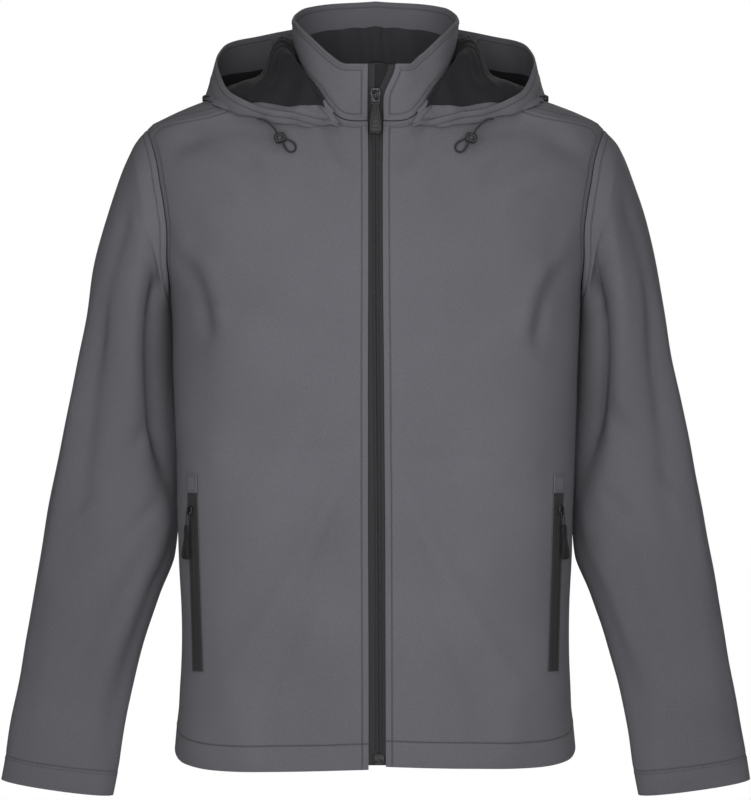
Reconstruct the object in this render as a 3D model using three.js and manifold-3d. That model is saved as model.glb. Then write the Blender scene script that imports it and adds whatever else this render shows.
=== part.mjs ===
// A hooded softshell jacket, filled out as it hangs when worn, with nobody in it.
// Millimetres, +Z up. The front faces -Y and the wearer's left side is +X.
// The origin is at the base of the neck, midway between the shoulders.
// Every cloth piece is a thin wall: a surface worked out from section tables, closed by its own inner face.

import * as THREE from "three";
import { mergeVertices } from "three/addons/utils/BufferGeometryUtils.js";
import Module from "manifold-3d";

const wasm = await Module();
wasm.setup();

// Driving sizes
const shellCloth = 2.0; // bonded softshell fabric
const collarCloth = 3.0; // two layers of it
const liningCloth = 1.0;
const tapeCloth = 1.0; // woven zip tape
const seamGap = 0.4; // between pieces that are sewn together
const wideSeamGap = 0.7; // where the seam runs over a sharp turn
const layerGap = 0.35; // between a piece and what lies on it

const hemHeight = { right: -696, left: -693 };
const zipDrift = 2; // how far the hem end of the zip stands to the wearer's left
// How the hem runs from the zip round to the side seam
const hemRise = [
  { share: 0, z: 0 },
  { share: 0.3, z: -2.5 },
  { share: 0.6, z: -4.5 },
  { share: 0.75, z: -2 },
  { share: 0.88, z: 5 },
  { share: 1, z: 12 },
];
const armpitHeight = -215;
const zipOpening = 14.5; // between the two front edges
const zipTopLean = 12.4; // how far the left collar end falls open above the slider

// Sections of the body, hem to neck: half width, depth in front of and behind the side seam,
// and how square the section is (2 is an ellipse).
const bodySections = [
  { z: -697, side: 210, front: 120, back: 118, square: 2.8 },
  { z: -665, side: 207.5, front: 121, back: 118, square: 2.8 },
  { z: -640, side: 204.5, front: 122, back: 118, square: 2.8 },
  { z: -577, side: 202, front: 124, back: 117, square: 2.8 },
  { z: -470, side: 205.5, front: 128, back: 118, square: 2.8 },
  { z: -378, side: 208.5, front: 131, back: 121, square: 2.7 },
  { z: -290, side: 212, front: 133, back: 126, square: 2.6 },
  { z: -215, side: 214.5, front: 133, back: 129, square: 2.4 },
  { z: -178, side: 226, front: 131, back: 129, square: 2.3 },
  { z: -148, side: 234, front: 128, back: 128, square: 2.2 },
  { z: -128, side: 240, front: 125, back: 127, square: 2.15 },
  { z: -95, side: 245.5, front: 119, back: 122, square: 2.1 },
  { z: -63, side: 244.5, front: 111, back: 114, square: 2.05 },
  { z: -42, side: 240, front: 104, back: 107, square: 2 },
  { z: -30, side: 219, front: 101.5, back: 104, square: 2 },
  { z: -14, side: 180, front: 98, back: 99, square: 2 },
  { z: 2, side: 135, front: 90, back: 91, square: 2 },
  { z: 13, side: 105, front: 81, back: 85, square: 2 },
  { z: 22, side: 78, front: 70, back: 79, square: 2 },
  { z: 33, side: 62, front: 58, back: 72, square: 2 },
  { z: 46, side: 46, front: 46, back: 58, square: 2 },
];
const yokeFoot = -95; // the body is laid out by plan position, and no longer by height, above this

// The armhole is an oval on the body: its middle height, half height, and reach along the quarter girth.
const armhole = { middle: -128.5, half: 86.5, reach: 0.215, seamTurn: 0.433 };
const neckHole = { side: 78, front: 104.5, back: 72, square: 2.3, frontSquare: 3.5 };
const collarTop = { side: 88, front: 113, back: 90, square: 2.3 };
const shoulderSeam = { neckShare: 0.64, bow: 28, backShare: 1.15 };

// Height of the collar's top edge, by share of the quarter girth from the centre front
const collarRise = [
  { share: 0, z: 12.5 },
  { share: 0.18, z: 13 },
  { share: 0.31, z: 25 },
  { share: 0.39, z: 35 },
  { share: 0.49, z: 46 },
  { share: 0.8, z: 68 },
  { share: 1, z: 74 },
  { share: 1.2, z: 84.5 },
  { share: 1.4, z: 95 },
  { share: 1.7, z: 103.5 },
  { share: 2, z: 107 },
];

// The sleeve, shoulder to cuff: where its outer and inner lines run, its half depth and its middle in y
const sleeveStations = [
  { outX: 252, outZ: -54, inX: 216, inZ: -224, depth: 67, y: 7 },
  { outX: 263.5, outZ: -76, inX: 215.3, inZ: -236, depth: 69, y: 16 },
  { outX: 274.5, outZ: -104, inX: 214.8, inZ: -250, depth: 70, y: 23 },
  { outX: 289.5, outZ: -146, inX: 214.5, inZ: -268, depth: 69, y: 28 },
  { outX: 300, outZ: -192, inX: 214, inZ: -292, depth: 66, y: 31 },
  { outX: 308.5, outZ: -245, inX: 213, inZ: -325, depth: 62, y: 33 },
  { outX: 319, outZ: -299, inX: 211, inZ: -365, depth: 58, y: 34 },
  { outX: 331.5, outZ: -357, inX: 209, inZ: -408, depth: 55, y: 34 },
  { outX: 343, outZ: -414, inX: 208.5, inZ: -448, depth: 52, y: 33 },
  { outX: 352.5, outZ: -470, inX: 212, inZ: -488, depth: 49, y: 31 },
  { outX: 362, outZ: -526, inX: 229.5, inZ: -533, depth: 45, y: 28 },
  { outX: 371, outZ: -584, inX: 248, inZ: -592, depth: 40, y: 24 },
  { outX: 381.5, outZ: -642, inX: 262, inZ: -650, depth: 35, y: 20 },
  { outX: 390.5, outZ: -698, inX: 271.5, inZ: -710, depth: 31, y: 16 },
  { outX: 395, outZ: -725, inX: 277.5, inZ: -742, depth: 28, y: 14 },
];
const sleeveSquare = 2.15;

// The hood, folded back: the neckline share where each section starts, the fold it rests on,
// its edge round the face, and how far the cloth between them swells.
const hoodStations = [
  { share: 0.26, foldX: 36, foldY: -107, foldZ: -48, rimX: 37, rimY: -110.5, rimZ: -51, swell: 0, roll: 0 },
  { share: 0.42, foldX: 61, foldY: -106, foldZ: -50, rimX: 60, rimY: -110.5, rimZ: -43, swell: 0, roll: 1 },
  { share: 0.55, foldX: 86, foldY: -102, foldZ: -48.5, rimX: 85, rimY: -109, rimZ: -37, swell: 0, roll: 3 },
  { share: 0.68, foldX: 115, foldY: -96, foldZ: -41.5, rimX: 113, rimY: -103, rimZ: -31, swell: 0, roll: 8 },
  { share: 0.8, foldX: 142, foldY: -83, foldZ: -35, rimX: 137, rimY: -88, rimZ: -19, swell: 2, roll: 14 },
  { share: 0.9, foldX: 163, foldY: -58, foldZ: -25.5, rimX: 152, rimY: -67, rimZ: -7, swell: 3, roll: 20 },
  { share: 1, foldX: 177.5, foldY: -15, foldZ: -14.5, rimX: 162.5, rimY: -36, rimZ: 13, swell: 2, roll: 26 },
  { share: 1.1, foldX: 177, foldY: 30, foldZ: -22, rimX: 168.5, rimY: 8, rimZ: 34, swell: 2, roll: 31 },
  { share: 1.25, foldX: 166, foldY: 84, foldZ: -50, rimX: 161, rimY: 62, rimZ: 57, swell: 8, roll: 35 },
  { share: 1.45, foldX: 128, foldY: 128, foldZ: -100, rimX: 128, rimY: 99, rimZ: 71, swell: 17, roll: 37 },
  { share: 1.7, foldX: 72, foldY: 152, foldZ: -138, rimX: 78, rimY: 123, rimZ: 84, swell: 22, roll: 38 },
  { share: 2, foldX: 0, foldY: 160, foldZ: -150, rimX: 0, rimY: 132, rimZ: 90, swell: 24, roll: 38 },
];
const hoodStandOff = 1.5; // the hood's underside above the shoulders
const hoodNeckStep = 4.6; // its neck edge, out from the collar's seam
const hoodRollStep = 15; // and the roll it makes beside the collar before it falls
const hoodSeamStation = 9.5; // where a side panel meets the crown panel
const hoodLiningColumn = 5; // where the lining starts; the front ends are bare shell cloth
const hoodLiningRows = [7, 7, 7, 7, 7, 8, 9, 10]; // and how far up it comes, by column from there

// Soft folds, as seen from the front: two ends, half width, depth (below zero sinks) and how far the line bows
const frontFolds = [
  { x1: 206, z1: -66, x2: 92, z2: -66, width: 15, depth: -5, bow: 20 },
  { x1: 206, z1: -130, x2: 120, z2: -280, width: 26, depth: 2.5, bow: -8 },
  { x1: 192, z1: -120, x2: 188, z2: -300, width: 20, depth: -3, bow: 6 },
  { x1: 150, z1: -610, x2: 132, z2: -697, width: 20, depth: 3, bow: 4 },
];
const backFolds = [
  { x1: 190, z1: -150, x2: 120, z2: -330, width: 18, depth: -4, bow: -12 },
  { x1: 60, z1: -260, x2: 74, z2: -600, width: 26, depth: 3, bow: 8 },
  { x1: 150, z1: -420, x2: 128, z2: -690, width: 20, depth: -4, bow: 6 },
];
// The same on a sleeve: angle round it (0 is the outer line, 90 the front), share of its length, spread and depth
const sleeveFolds = [
  { turn1: 128, along1: 0.1, turn2: 152, along2: 0.48, width: 15, depth: -9 },
  { turn1: 84, along1: 0.06, turn2: 92, along2: 0.42, width: 17, depth: 4 },
  { turn1: 52, along1: 0.3, turn2: 66, along2: 0.62, width: 12, depth: -6 },
  { turn1: 30, along1: 0.36, turn2: 36, along2: 0.7, width: 11, depth: 3 },
  { turn1: 148, along1: 0.55, turn2: 132, along2: 0.8, width: 13, depth: 4 },
  { turn1: -70, along1: 0.25, turn2: -58, along2: 0.6, width: 16, depth: -6 },
  { turn1: -120, along1: 0.4, turn2: -135, along2: 0.75, width: 14, depth: -5 },
];

const pocket = {
  top: { x: 186, z: -420.5 },
  bottom: { x: 180.6, z: -601.8 },
  width: 16,
  garageTop: -401,
  sliderZ: -438,
};
const mainSliderZ = -19;

// Counts of rows and columns
const counts = {
  frontColumns: 12,
  lowRows: 9,
  armRows: 8,
  yokeRows: 5,
  arcColumns: 6,
  backHalfColumns: 8,
  sleeveRings: 15,
  collarRows: 4,
  hoodSideColumns: 14,
  hoodCrownColumns: 6,
  hoodRows: 12,
  hoodFacingRows: 1,
};

const colours = {
  shell: [0x5c5b61, 0.85, 0],
  lining: [0x26262b, 0.95, 0],
  tape: [0x29292e, 0.8, 0],
  slider: [0x3a3a3e, 0.4, 0.7],
  grip: [0x242428, 0.55, 0],
  cord: [0x1d1d20, 0.8, 0],
};

// Small helpers
const point = (x, y, z) => new THREE.Vector3(x, y, z);
const mix = (a, b, t) => a + (b - a) * t;
const clamp = (v, low, high) => Math.min(high, Math.max(low, v));
const steps = (count) => Array.from({ length: count + 1 }, (_, i) => i / count);
const radians = THREE.MathUtils.degToRad;
const smooth = (low, high, v) => THREE.MathUtils.smoothstep(v, low, high);
const mirrored = (p) => point(-p.x, p.y, p.z);

// A smooth curve through a table's rows that never overshoots them
function monotone(rows, key, value) {
  const xs = rows.map((r) => r[key]);
  const ys = rows.map((r) => r[value]);
  const slopes = xs.slice(1).map((x, i) => (ys[i + 1] - ys[i]) / (x - xs[i]));
  const tangents = xs.map((_, i) => {
    if (i === 0) return slopes[0];
    if (i === xs.length - 1) return slopes[i - 1];
    const [a, b] = [slopes[i - 1], slopes[i]];
    return a * b <= 0 ? 0 : (2 * a * b) / (a + b);
  });
  return (x) => {
    const at = clamp(x, xs[0], xs[xs.length - 1]);
    let i = xs.findIndex((v, k) => k > 0 && at <= v) - 1;
    if (i < 0) i = 0;
    const span = xs[i + 1] - xs[i];
    const t = (at - xs[i]) / span;
    const [t2, t3] = [t * t, t * t * t];
    return (
      ys[i] * (2 * t3 - 3 * t2 + 1) +
      tangents[i] * span * (t3 - 2 * t2 + t) +
      ys[i + 1] * (3 * t2 - 2 * t3) +
      tangents[i + 1] * span * (t3 - t2)
    );
  };
}

const bodySide = monotone(bodySections, "z", "side");
const bodyFront = monotone(bodySections, "z", "front");
const bodyBack = monotone(bodySections, "z", "back");
const bodySquare = monotone(bodySections, "z", "square");
const collarHeight = monotone(collarRise, "share", "z");
const hemDip = monotone(hemRise, "share", "z");

// A quarter of a rounded section, by share of its length from the middle (0) to the side (1)
const quarterSamples = 28;
function quarter(share, side, depth, square) {
  const at = (turn) => [side * Math.sin(turn) ** (2 / square), depth * Math.cos(turn) ** (2 / square)];
  const turns = steps(quarterSamples).map((t) => (t * Math.PI) / 2);
  const places = turns.map(at);
  const lengths = [0];
  for (let i = 1; i < places.length; i++)
    lengths.push(lengths[i - 1] + Math.hypot(places[i][0] - places[i - 1][0], places[i][1] - places[i - 1][1]));
  const total = lengths[quarterSamples];
  const wanted = clamp(share, 0, 1) * total;
  let i = lengths.findIndex((l, k) => k > 0 && wanted <= l) - 1;
  if (i < 0) i = 0;
  const inner = (wanted - lengths[i]) / (lengths[i + 1] - lengths[i]);
  const [x, y] = at(Math.min(mix(turns[i], turns[i + 1], inner), Math.PI / 2 - 1e-9));
  return { x, y, length: total };
}

// A plan outline given as side, front and back: share 0 is the centre front, 1 the side and 2 the centre back
function planPoint(share, outline) {
  const behind = share > 1;
  const depth = behind ? outline.back : outline.front;
  const square = behind ? outline.square : (outline.frontSquare ?? outline.square);
  const q = quarter(behind ? 2 - share : share, outline.side, depth, square);
  return { x: q.x, y: behind ? q.y : -q.y, length: q.length };
}

function ringAt(z) {
  return { side: bodySide(z), front: bodyFront(z), back: bodyBack(z), square: bodySquare(z) };
}

function body(share, z) {
  const p = planPoint(share, ringAt(z));
  return point(p.x, p.y, z);
}

// 1 on the body's surface, more outside it
function fullness(x, y, z) {
  const ring = ringAt(z);
  const depth = y < 0 ? ring.front : ring.back;
  return ((Math.abs(x) / ring.side) ** ring.square + (Math.abs(y) / depth) ** ring.square) ** (1 / ring.square);
}

// The height of the shoulders over a plan position
function heightAt(x, y) {
  let [low, high] = [yokeFoot - 1, 46];
  for (let i = 0; i < 40; i++) {
    const middle = (low + high) / 2;
    if (fullness(x, y, middle) < 1) low = middle;
    else high = middle;
  }
  return (low + high) / 2;
}

function bodyGradient(p) {
  const d = 0.5;
  return point(
    fullness(p.x + d, p.y, p.z) - fullness(p.x - d, p.y, p.z),
    fullness(p.x, p.y + d, p.z) - fullness(p.x, p.y - d, p.z),
    fullness(p.x, p.y, p.z + d) - fullness(p.x, p.y, p.z - d),
  ).multiplyScalar(0.5 / d);
}

// Moves a point out until it is at least this far from the body
function clearOfBody(p, gap) {
  const moved = p.clone();
  for (let i = 0; i < 4; i++) {
    const gradient = bodyGradient(moved);
    const distance = (fullness(moved.x, moved.y, moved.z) - 1) / gradient.length();
    if (distance >= gap) break;
    moved.addScaledVector(gradient.normalize(), gap - distance);
  }
  return moved;
}

// A surface of welded four-sided faces, wound so that they face out
class Surface {
  constructor() {
    this.points = [];
    this.facings = [];
    this.faces = [];
    this.known = new Map();
  }

  // A point may carry the way its wall faces, as a seam's points do
  vertex(p) {
    const key = [p.x, p.y, p.z].map((v) => Math.round(v * 200)).join();
    if (!this.known.has(key)) {
      this.known.set(key, this.points.length);
      this.points.push(p.clone());
      this.facings.push(p.facing);
    }
    return this.known.get(key);
  }

  // rows run upwards, and each runs round the body from the front by the +X side to the back
  // The faces' diagonals turn over from the column `mirrorFrom`, so that both sides match
  addGrid(rows, { flip = false, closed = false, keep = () => true, mirrorFrom = Infinity } = {}) {
    const ids = rows.map((row) => row.map((p) => this.vertex(p)));
    const width = ids[0].length;
    for (let r = 0; r + 1 < ids.length; r++)
      for (let c = 0; c < (closed ? width : width - 1); c++) {
        if (!keep(r, c)) continue;
        const next = (c + 1) % width;
        const [a, b, d, e] = [ids[r][c], ids[r][next], ids[r + 1][next], ids[r + 1][c]];
        if (flip) this.faces.push([a, e, d, b]);
        else this.faces.push(c >= mirrorFrom ? [b, d, e, a] : [a, b, d, e]);
      }
    return this;
  }

  boundary() {
    const edges = new Set();
    for (const face of this.faces) face.forEach((a, i) => edges.add(a + "," + face[(i + 1) % 4]));
    return [...edges].map((e) => e.split(",").map(Number)).filter(([a, b]) => !edges.has(b + "," + a));
  }

  normals() {
    const sums = this.points.map(() => point(0, 0, 0));
    for (const face of this.faces) {
      const [a, b, c, d] = face.map((i) => this.points[i]);
      const across = c.clone().sub(a).cross(d.clone().sub(b));
      face.forEach((i) => sums[i].add(across));
    }
    return sums.map((n, i) => this.facings[i] ?? n.normalize());
  }

  // Moves every inner point along its normal by what the function says; edges stay, so that seams still meet
  displace(amount) {
    const edge = new Set(this.boundary().flat());
    const normals = this.normals();
    this.points.forEach((p, i) => {
      if (!edge.has(i)) p.addScaledVector(normals[i], amount(p, i));
    });
    return this;
  }
}

// Closes a surface into a wall: its outer face lies `inset` under the surface
function wallGeometry(surface, thickness, inset = 0) {
  const normals = surface.normals();
  const positions = [];
  const indices = [];
  for (const depth of [inset, inset + thickness])
    surface.points.forEach((p, i) => positions.push(...p.clone().addScaledVector(normals[i], -depth).toArray()));
  const under = surface.points.length;
  for (const [a, b, c, d] of surface.faces) {
    indices.push(a, b, c, a, c, d);
    indices.push(c + under, b + under, a + under, d + under, c + under, a + under);
  }
  for (const [a, b] of surface.boundary()) indices.push(b, a, a + under, b, a + under, b + under);
  const geometry = new THREE.BufferGeometry();
  geometry.setAttribute("position", new THREE.Float32BufferAttribute(positions, 3));
  geometry.setIndex(indices);
  return geometry;
}

function finish(kind) {
  const [color, roughness, metalness] = colours[kind];
  return new THREE.MeshStandardMaterial({ color, roughness, metalness });
}

function piece(name, geometry, kind) {
  const mesh = new THREE.Mesh(geometry, finish(kind));
  mesh.name = name;
  return mesh;
}

function facingWay(p, facing) {
  p.facing = facing;
  return p;
}

// Draws a grid's edges back by half a seam's gap, towards their neighbours
function trimmed(rows, edges, gap = seamGap / 2) {
  const out = rows.map((row) => row.map((p) => facingWay(p.clone(), p.facing)));
  const last = rows.length - 1;
  const end = rows[0].length - 1;
  const draw = (p, towards) => p.addScaledVector(towards.clone().sub(p).normalize(), gap);
  if (edges.includes("start")) rows.forEach((row, r) => draw(out[r][0], row[1]));
  if (edges.includes("end")) rows.forEach((row, r) => draw(out[r][end], row[end - 1]));
  if (edges.includes("bottom")) rows[0].forEach((_, c) => draw(out[0][c], rows[1][c]));
  if (edges.includes("top")) rows[last].forEach((_, c) => draw(out[last][c], rows[last - 1][c]));
  return out;
}

// Manifold solids, for the few pieces that are joined or cut
function toSolid(geometry) {
  const bare = new THREE.BufferGeometry();
  const loose = geometry.index ? geometry.toNonIndexed() : geometry;
  bare.setAttribute("position", loose.getAttribute("position").clone());
  const merged = mergeVertices(bare, 1e-4);
  return new wasm.Manifold(
    new wasm.Mesh({
      numProp: 3,
      vertProperties: merged.attributes.position.array,
      triVerts: new Uint32Array(merged.index.array),
    }),
  );
}

function fromSolid(solid) {
  const mesh = solid.getMesh();
  const geometry = new THREE.BufferGeometry();
  const positions = new Float32Array(mesh.numVert * 3);
  for (let v = 0; v < mesh.numVert; v++)
    for (let k = 0; k < 3; k++) positions[v * 3 + k] = mesh.vertProperties[v * mesh.numProp + k];
  geometry.setAttribute("position", new THREE.BufferAttribute(positions, 3));
  geometry.setIndex(new THREE.BufferAttribute(new Uint32Array(mesh.triVerts), 1));
  return geometry;
}

// How far the folds of a table move the cloth at a place seen from the front
function foldDepth(folds, x, z) {
  let sum = 0;
  for (const f of folds) {
    const along = point(f.x2 - f.x1, 0, f.z2 - f.z1);
    const length = along.length();
    along.divideScalar(length);
    const [dx, dz] = [x - f.x1, z - f.z1];
    const t = (dx * along.x + dz * along.z) / length;
    const across = dx * along.z - dz * along.x - f.bow * 4 * t * (1 - t);
    const ends = smooth(-0.15, 0.2, t) * (1 - smooth(0.8, 1.15, t));
    sum += f.depth * Math.exp(-((across / f.width) ** 2)) * ends;
  }
  return sum;
}

// Where the edge of the front and back panels runs, from the hem to the foot of the shoulder seam
function edgeStops(hem) {
  const low = steps(counts.lowRows)
    .slice(0, -1)
    .map((t) => ({ turn: Math.PI, reach: 0, z: mix(hem, armpitHeight, t) }));
  const arm = steps(counts.armRows).map((t) => {
    const turn = mix(Math.PI, armhole.seamTurn, t);
    return { turn, reach: armhole.reach * Math.sin(turn), z: armhole.middle + armhole.half * Math.cos(turn) };
  });
  return [...low, ...arm];
}

const seamFootHeight = armhole.middle + armhole.half * Math.cos(armhole.seamTurn);
const seamFootShare = 1 - armhole.reach * Math.sin(armhole.seamTurn);

// Rows tilt: at the centre they stop lower than at the armhole, which leaves room for the neckline
const centreHeight = (edgeZ, hem) => hem + ((edgeZ - hem) / (seamFootHeight - hem)) * (yokeFoot - hem);

// The hem's own curve dies out a hand's breadth up
const hemShare = (z, hem) => (1 - smooth(0, 160, z - hem)) ** 2;

function onShoulder(plan) {
  return point(plan.x, plan.y, heightAt(plan.x, plan.y));
}

// How far the zip stands to the wearer's left at a height
const zipShift = (z) => zipDrift * (1 - smooth(hemHeight.left, yokeFoot, z));

// A front panel on the +X side: columns run from the zip to the side seam, armhole and shoulder seam
function frontRows(hem, sign) {
  const columns = steps(counts.frontColumns);
  const rows = edgeStops(hem).map((stop) =>
    columns.map((u) => {
      const z = mix(centreHeight(stop.z, hem), stop.z, u) + hemDip(u) * hemShare(stop.z, hem);
      const start = (zipOpening / 2 + sign * zipShift(z)) / planPoint(0, ringAt(z)).length;
      return body(mix(start, 1 - stop.reach, u), z);
    }),
  );
  const foot = rows[rows.length - 1];
  const neckStart = zipOpening / 2 / planPoint(0, neckHole).length;
  for (const w of steps(counts.yokeRows).slice(1))
    rows.push(
      columns.map((u, c) => {
        const neck = planPoint(mix(neckStart, shoulderSeam.neckShare, u), neckHole);
        const bow = shoulderSeam.bow * u ** 5 * 4 * w * (1 - w);
        return onShoulder({ x: mix(foot[c].x, neck.x, w), y: mix(foot[c].y, neck.y, w) - bow });
      }),
    );
  return rows;
}

// Half of the back below the shoulders: columns run from the side seam to the centre back
function backRows(hem) {
  const columns = steps(counts.backHalfColumns);
  return edgeStops(hem).map((stop) =>
    columns.map((u) => {
      const z = mix(stop.z, centreHeight(stop.z, hem), u) + hemDip(1 - u) * hemShare(stop.z, hem);
      return body(mix(1 + stop.reach, 2, u), z);
    }),
  );
}

// Half of the back's top, over the shoulder to the forward seam: first the strip above the armhole, then the back
function shoulderRows(hem) {
  const arc = steps(counts.arcColumns).map((t) => {
    const turn = mix(armhole.seamTurn, -armhole.seamTurn, t);
    return {
      foot: body(1 - armhole.reach * Math.sin(turn), armhole.middle + armhole.half * Math.cos(turn)),
      neck: planPoint(mix(shoulderSeam.neckShare, shoulderSeam.backShare, t), neckHole),
      bow: shoulderSeam.bow * (1 - t) ** 2,
    };
  });
  const lowTop = backRows(hem).at(-1);
  const rest = steps(counts.backHalfColumns)
    .slice(1)
    .map((t, i) => ({
      foot: lowTop[i + 1],
      neck: planPoint(mix(shoulderSeam.backShare, 2, t), neckHole),
      bow: 0,
    }));
  return steps(counts.yokeRows).map((w) =>
    [...arc, ...rest].map(({ foot, neck, bow }) => {
      if (w === 0) return foot;
      const shift = bow * 4 * w * (1 - w);
      return onShoulder({ x: mix(foot.x, neck.x, w), y: mix(foot.y, neck.y, w) - shift });
    }),
  );
}

const bothSides = (rows) =>
  rows.map((row) => row.map((p) => facingWay(mirrored(p), p.facing && mirrored(p.facing))));

// At their edges the body's panels face as the body does, so that two of them meet squarely
function bordered(rows) {
  const last = rows.length - 1;
  rows.forEach((row, r) =>
    row.forEach((p, c) => {
      if (r === 0 || r === last || c === 0 || c === row.length - 1) p.facing = bodyGradient(p).normalize();
    }),
  );
  return rows;
}

function frontPanel(name, sign) {
  const hem = sign > 0 ? hemHeight.left : hemHeight.right;
  const rows = trimmed(bordered(frontRows(hem, sign)), ["end", "top"], wideSeamGap / 2);
  const surface = new Surface().addGrid(sign > 0 ? rows : bothSides(rows), { flip: sign < 0 });
  surface.displace((p) => foldDepth(frontFolds, Math.abs(p.x), p.z));
  return piece(name, wallGeometry(surface, shellCloth), "shell");
}

function backPanel() {
  const hem = (hemHeight.left + hemHeight.right) / 2;
  const low = trimmed(bordered(backRows(hem)), ["start"]);
  const high = trimmed(bordered(shoulderRows(hem)), ["start", "top"], wideSeamGap / 2);
  // The strip above the armhole starts at its edge, and the rest continues the low rows
  const arcEnd = counts.arcColumns;
  for (let c = 0; c < arcEnd; c++) {
    const towards = high[1][c].clone().sub(high[0][c]).normalize();
    high[0][c].addScaledVector(towards, seamGap / 2);
  }
  high[0][arcEnd] = low.at(-1)[0];
  const surface = new Surface()
    .addGrid(low)
    .addGrid(bothSides(low), { flip: true })
    .addGrid(high)
    .addGrid(bothSides(high), { flip: true });
  surface.displace((p) => (p.y > 0 ? foldDepth(backFolds, Math.abs(p.x), p.z) : 0));
  return piece("back", wallGeometry(surface, shellCloth), "shell");
}

// The armhole's outline, from its top round the front, the armpit and the back
function armholeLoop() {
  const arc = steps(counts.arcColumns).map((t) => mix(-armhole.seamTurn, armhole.seamTurn, t));
  const front = steps(counts.armRows)
    .slice(1)
    .map((t) => mix(armhole.seamTurn, Math.PI, t));
  const behind = steps(counts.armRows)
    .slice(1, -1)
    .map((t) => mix(Math.PI, 2 * Math.PI - armhole.seamTurn, t));
  return [...arc, ...front, ...behind].map((turn) => ({
    turn,
    place: body(1 - armhole.reach * Math.sin(turn), armhole.middle + armhole.half * Math.cos(turn)),
  }));
}

const sleeveKeys = ["outX", "outZ", "inX", "inZ", "depth", "y"];
const sleeveAlong = Object.fromEntries(
  sleeveKeys.map((key) => [
    key,
    monotone(
      sleeveStations.map((s, i) => ({ ...s, i })),
      "i",
      key,
    ),
  ]),
);

// A point on the sleeve's surface below the armhole
function sleevePoint(turn, station) {
  const s = Object.fromEntries(sleeveKeys.map((key) => [key, sleeveAlong[key](station)]));
  const power = 2 / sleeveSquare;
  const across = Math.sign(Math.cos(turn)) * Math.abs(Math.cos(turn)) ** power;
  const through = Math.sign(Math.sin(turn)) * Math.abs(Math.sin(turn)) ** power;
  return point(
    (s.outX + s.inX) / 2 + ((s.outX - s.inX) / 2) * across,
    s.y - s.depth * through,
    (s.outZ + s.inZ) / 2 + ((s.outZ - s.inZ) / 2) * across,
  );
}

// Starts a piece beside a sewn edge: returns its first point and the way its wall faces there
function besideSeam(place, tangent, next) {
  const out = bodyGradient(place).normalize();
  const into = tangent.clone().cross(out).normalize();
  const leave = next.clone().sub(place).normalize();
  const lift = Math.max(0, Math.atan2(leave.dot(out), leave.dot(into)));
  const start = place
    .clone()
    .addScaledVector(into, seamGap * Math.cos(lift / 2))
    .addScaledVector(out, seamGap * Math.sin(lift / 2));
  const facing = out.clone().multiplyScalar(Math.cos(lift)).addScaledVector(into, -Math.sin(lift));
  return { start, facing };
}

function sleeveSurface() {
  const loop = armholeLoop();
  const rings = steps(counts.sleeveRings).map((t) =>
    loop.map(({ turn }) => sleevePoint(turn, t * (sleeveStations.length - 1))),
  );
  const starts = loop.map(({ place }, i) => {
    const tangent = loop[(i + loop.length - 1) % loop.length].place.clone().sub(loop[(i + 1) % loop.length].place);
    return besideSeam(place, tangent.normalize(), rings[0][i]);
  });
  const surface = new Surface();
  // Rings run downwards from the top by the front, so the faces are turned to look out
  surface.addGrid([starts.map((s) => facingWay(s.start, s.facing)), ...rings], { closed: true });
  const shares = new Map();
  rings.forEach((ring, r) => ring.forEach((p, c) => shares.set(surface.vertex(p), [r / counts.sleeveRings, loop[c].turn])));
  surface.displace((_, i) => {
    if (!shares.has(i)) return 0;
    const [along, turn] = shares.get(i);
    const degrees = THREE.MathUtils.radToDeg(turn > Math.PI ? turn - 2 * Math.PI : turn);
    return sleeveFoldDepth(degrees, along);
  });
  return surface;
}

function sleeveFoldDepth(degrees, along) {
  let sum = 0;
  for (const f of sleeveFolds) {
    const t = (along - f.along1) / (f.along2 - f.along1);
    const across = degrees - mix(f.turn1, f.turn2, clamp(t, 0, 1));
    const ends = smooth(-0.2, 0.25, t) * (1 - smooth(0.75, 1.2, t));
    sum += f.depth * Math.exp(-((across / f.width) ** 2)) * ends;
  }
  return sum;
}

function mirroredGeometry(geometry) {
  const out = geometry.clone().applyMatrix4(new THREE.Matrix4().makeScale(-1, 1, 1));
  const index = out.index.array;
  for (let i = 0; i < index.length; i += 3) [index[i + 1], index[i + 2]] = [index[i + 2], index[i + 1]];
  return out;
}

function sleeves() {
  const left = wallGeometry(sleeveSurface(), shellCloth);
  return [piece("sleeve_left", left, "shell"), piece("sleeve_right", mirroredGeometry(left), "shell")];
}

// Neckline shares of the columns of the fronts, the shoulder strip and the back, centre front to centre back
function neckShares() {
  const start = zipOpening / 2 / planPoint(0, neckHole).length;
  return [
    ...steps(counts.frontColumns).map((u) => mix(start, shoulderSeam.neckShare, u)),
    ...steps(counts.arcColumns)
      .slice(1)
      .map((t) => mix(shoulderSeam.neckShare, shoulderSeam.backShare, t)),
    ...steps(counts.backHalfColumns)
      .slice(1)
      .map((t) => mix(shoulderSeam.backShare, 2, t)),
  ];
}

const neckline = (share) => onShoulder(planPoint(share, neckHole));

// A point of the collar's outer face: rise 0 is its seam and 1 its top edge
function collarPoint(share, rise, lean) {
  const start = zipOpening / 2 / planPoint(0, neckHole).length;
  const low = neckline(share);
  const plan = planPoint(share, collarTop);
  const top = point(plan.x, plan.y, collarHeight(share));
  const open = lean * smooth(0.35, 1, rise) * (1 - smooth(start, 0.3, share));
  const swell = 2 * Math.sin(Math.PI * rise);
  const p = low.lerp(top, rise);
  const outward = point(plan.x, plan.y, 0).normalize();
  return p.addScaledVector(outward, swell).add(point(open, 0, 0));
}

function collarRows(lean) {
  const shares = neckShares();
  return steps(counts.collarRows).map((rise) => shares.map((share) => collarPoint(share, rise, lean)));
}

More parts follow.
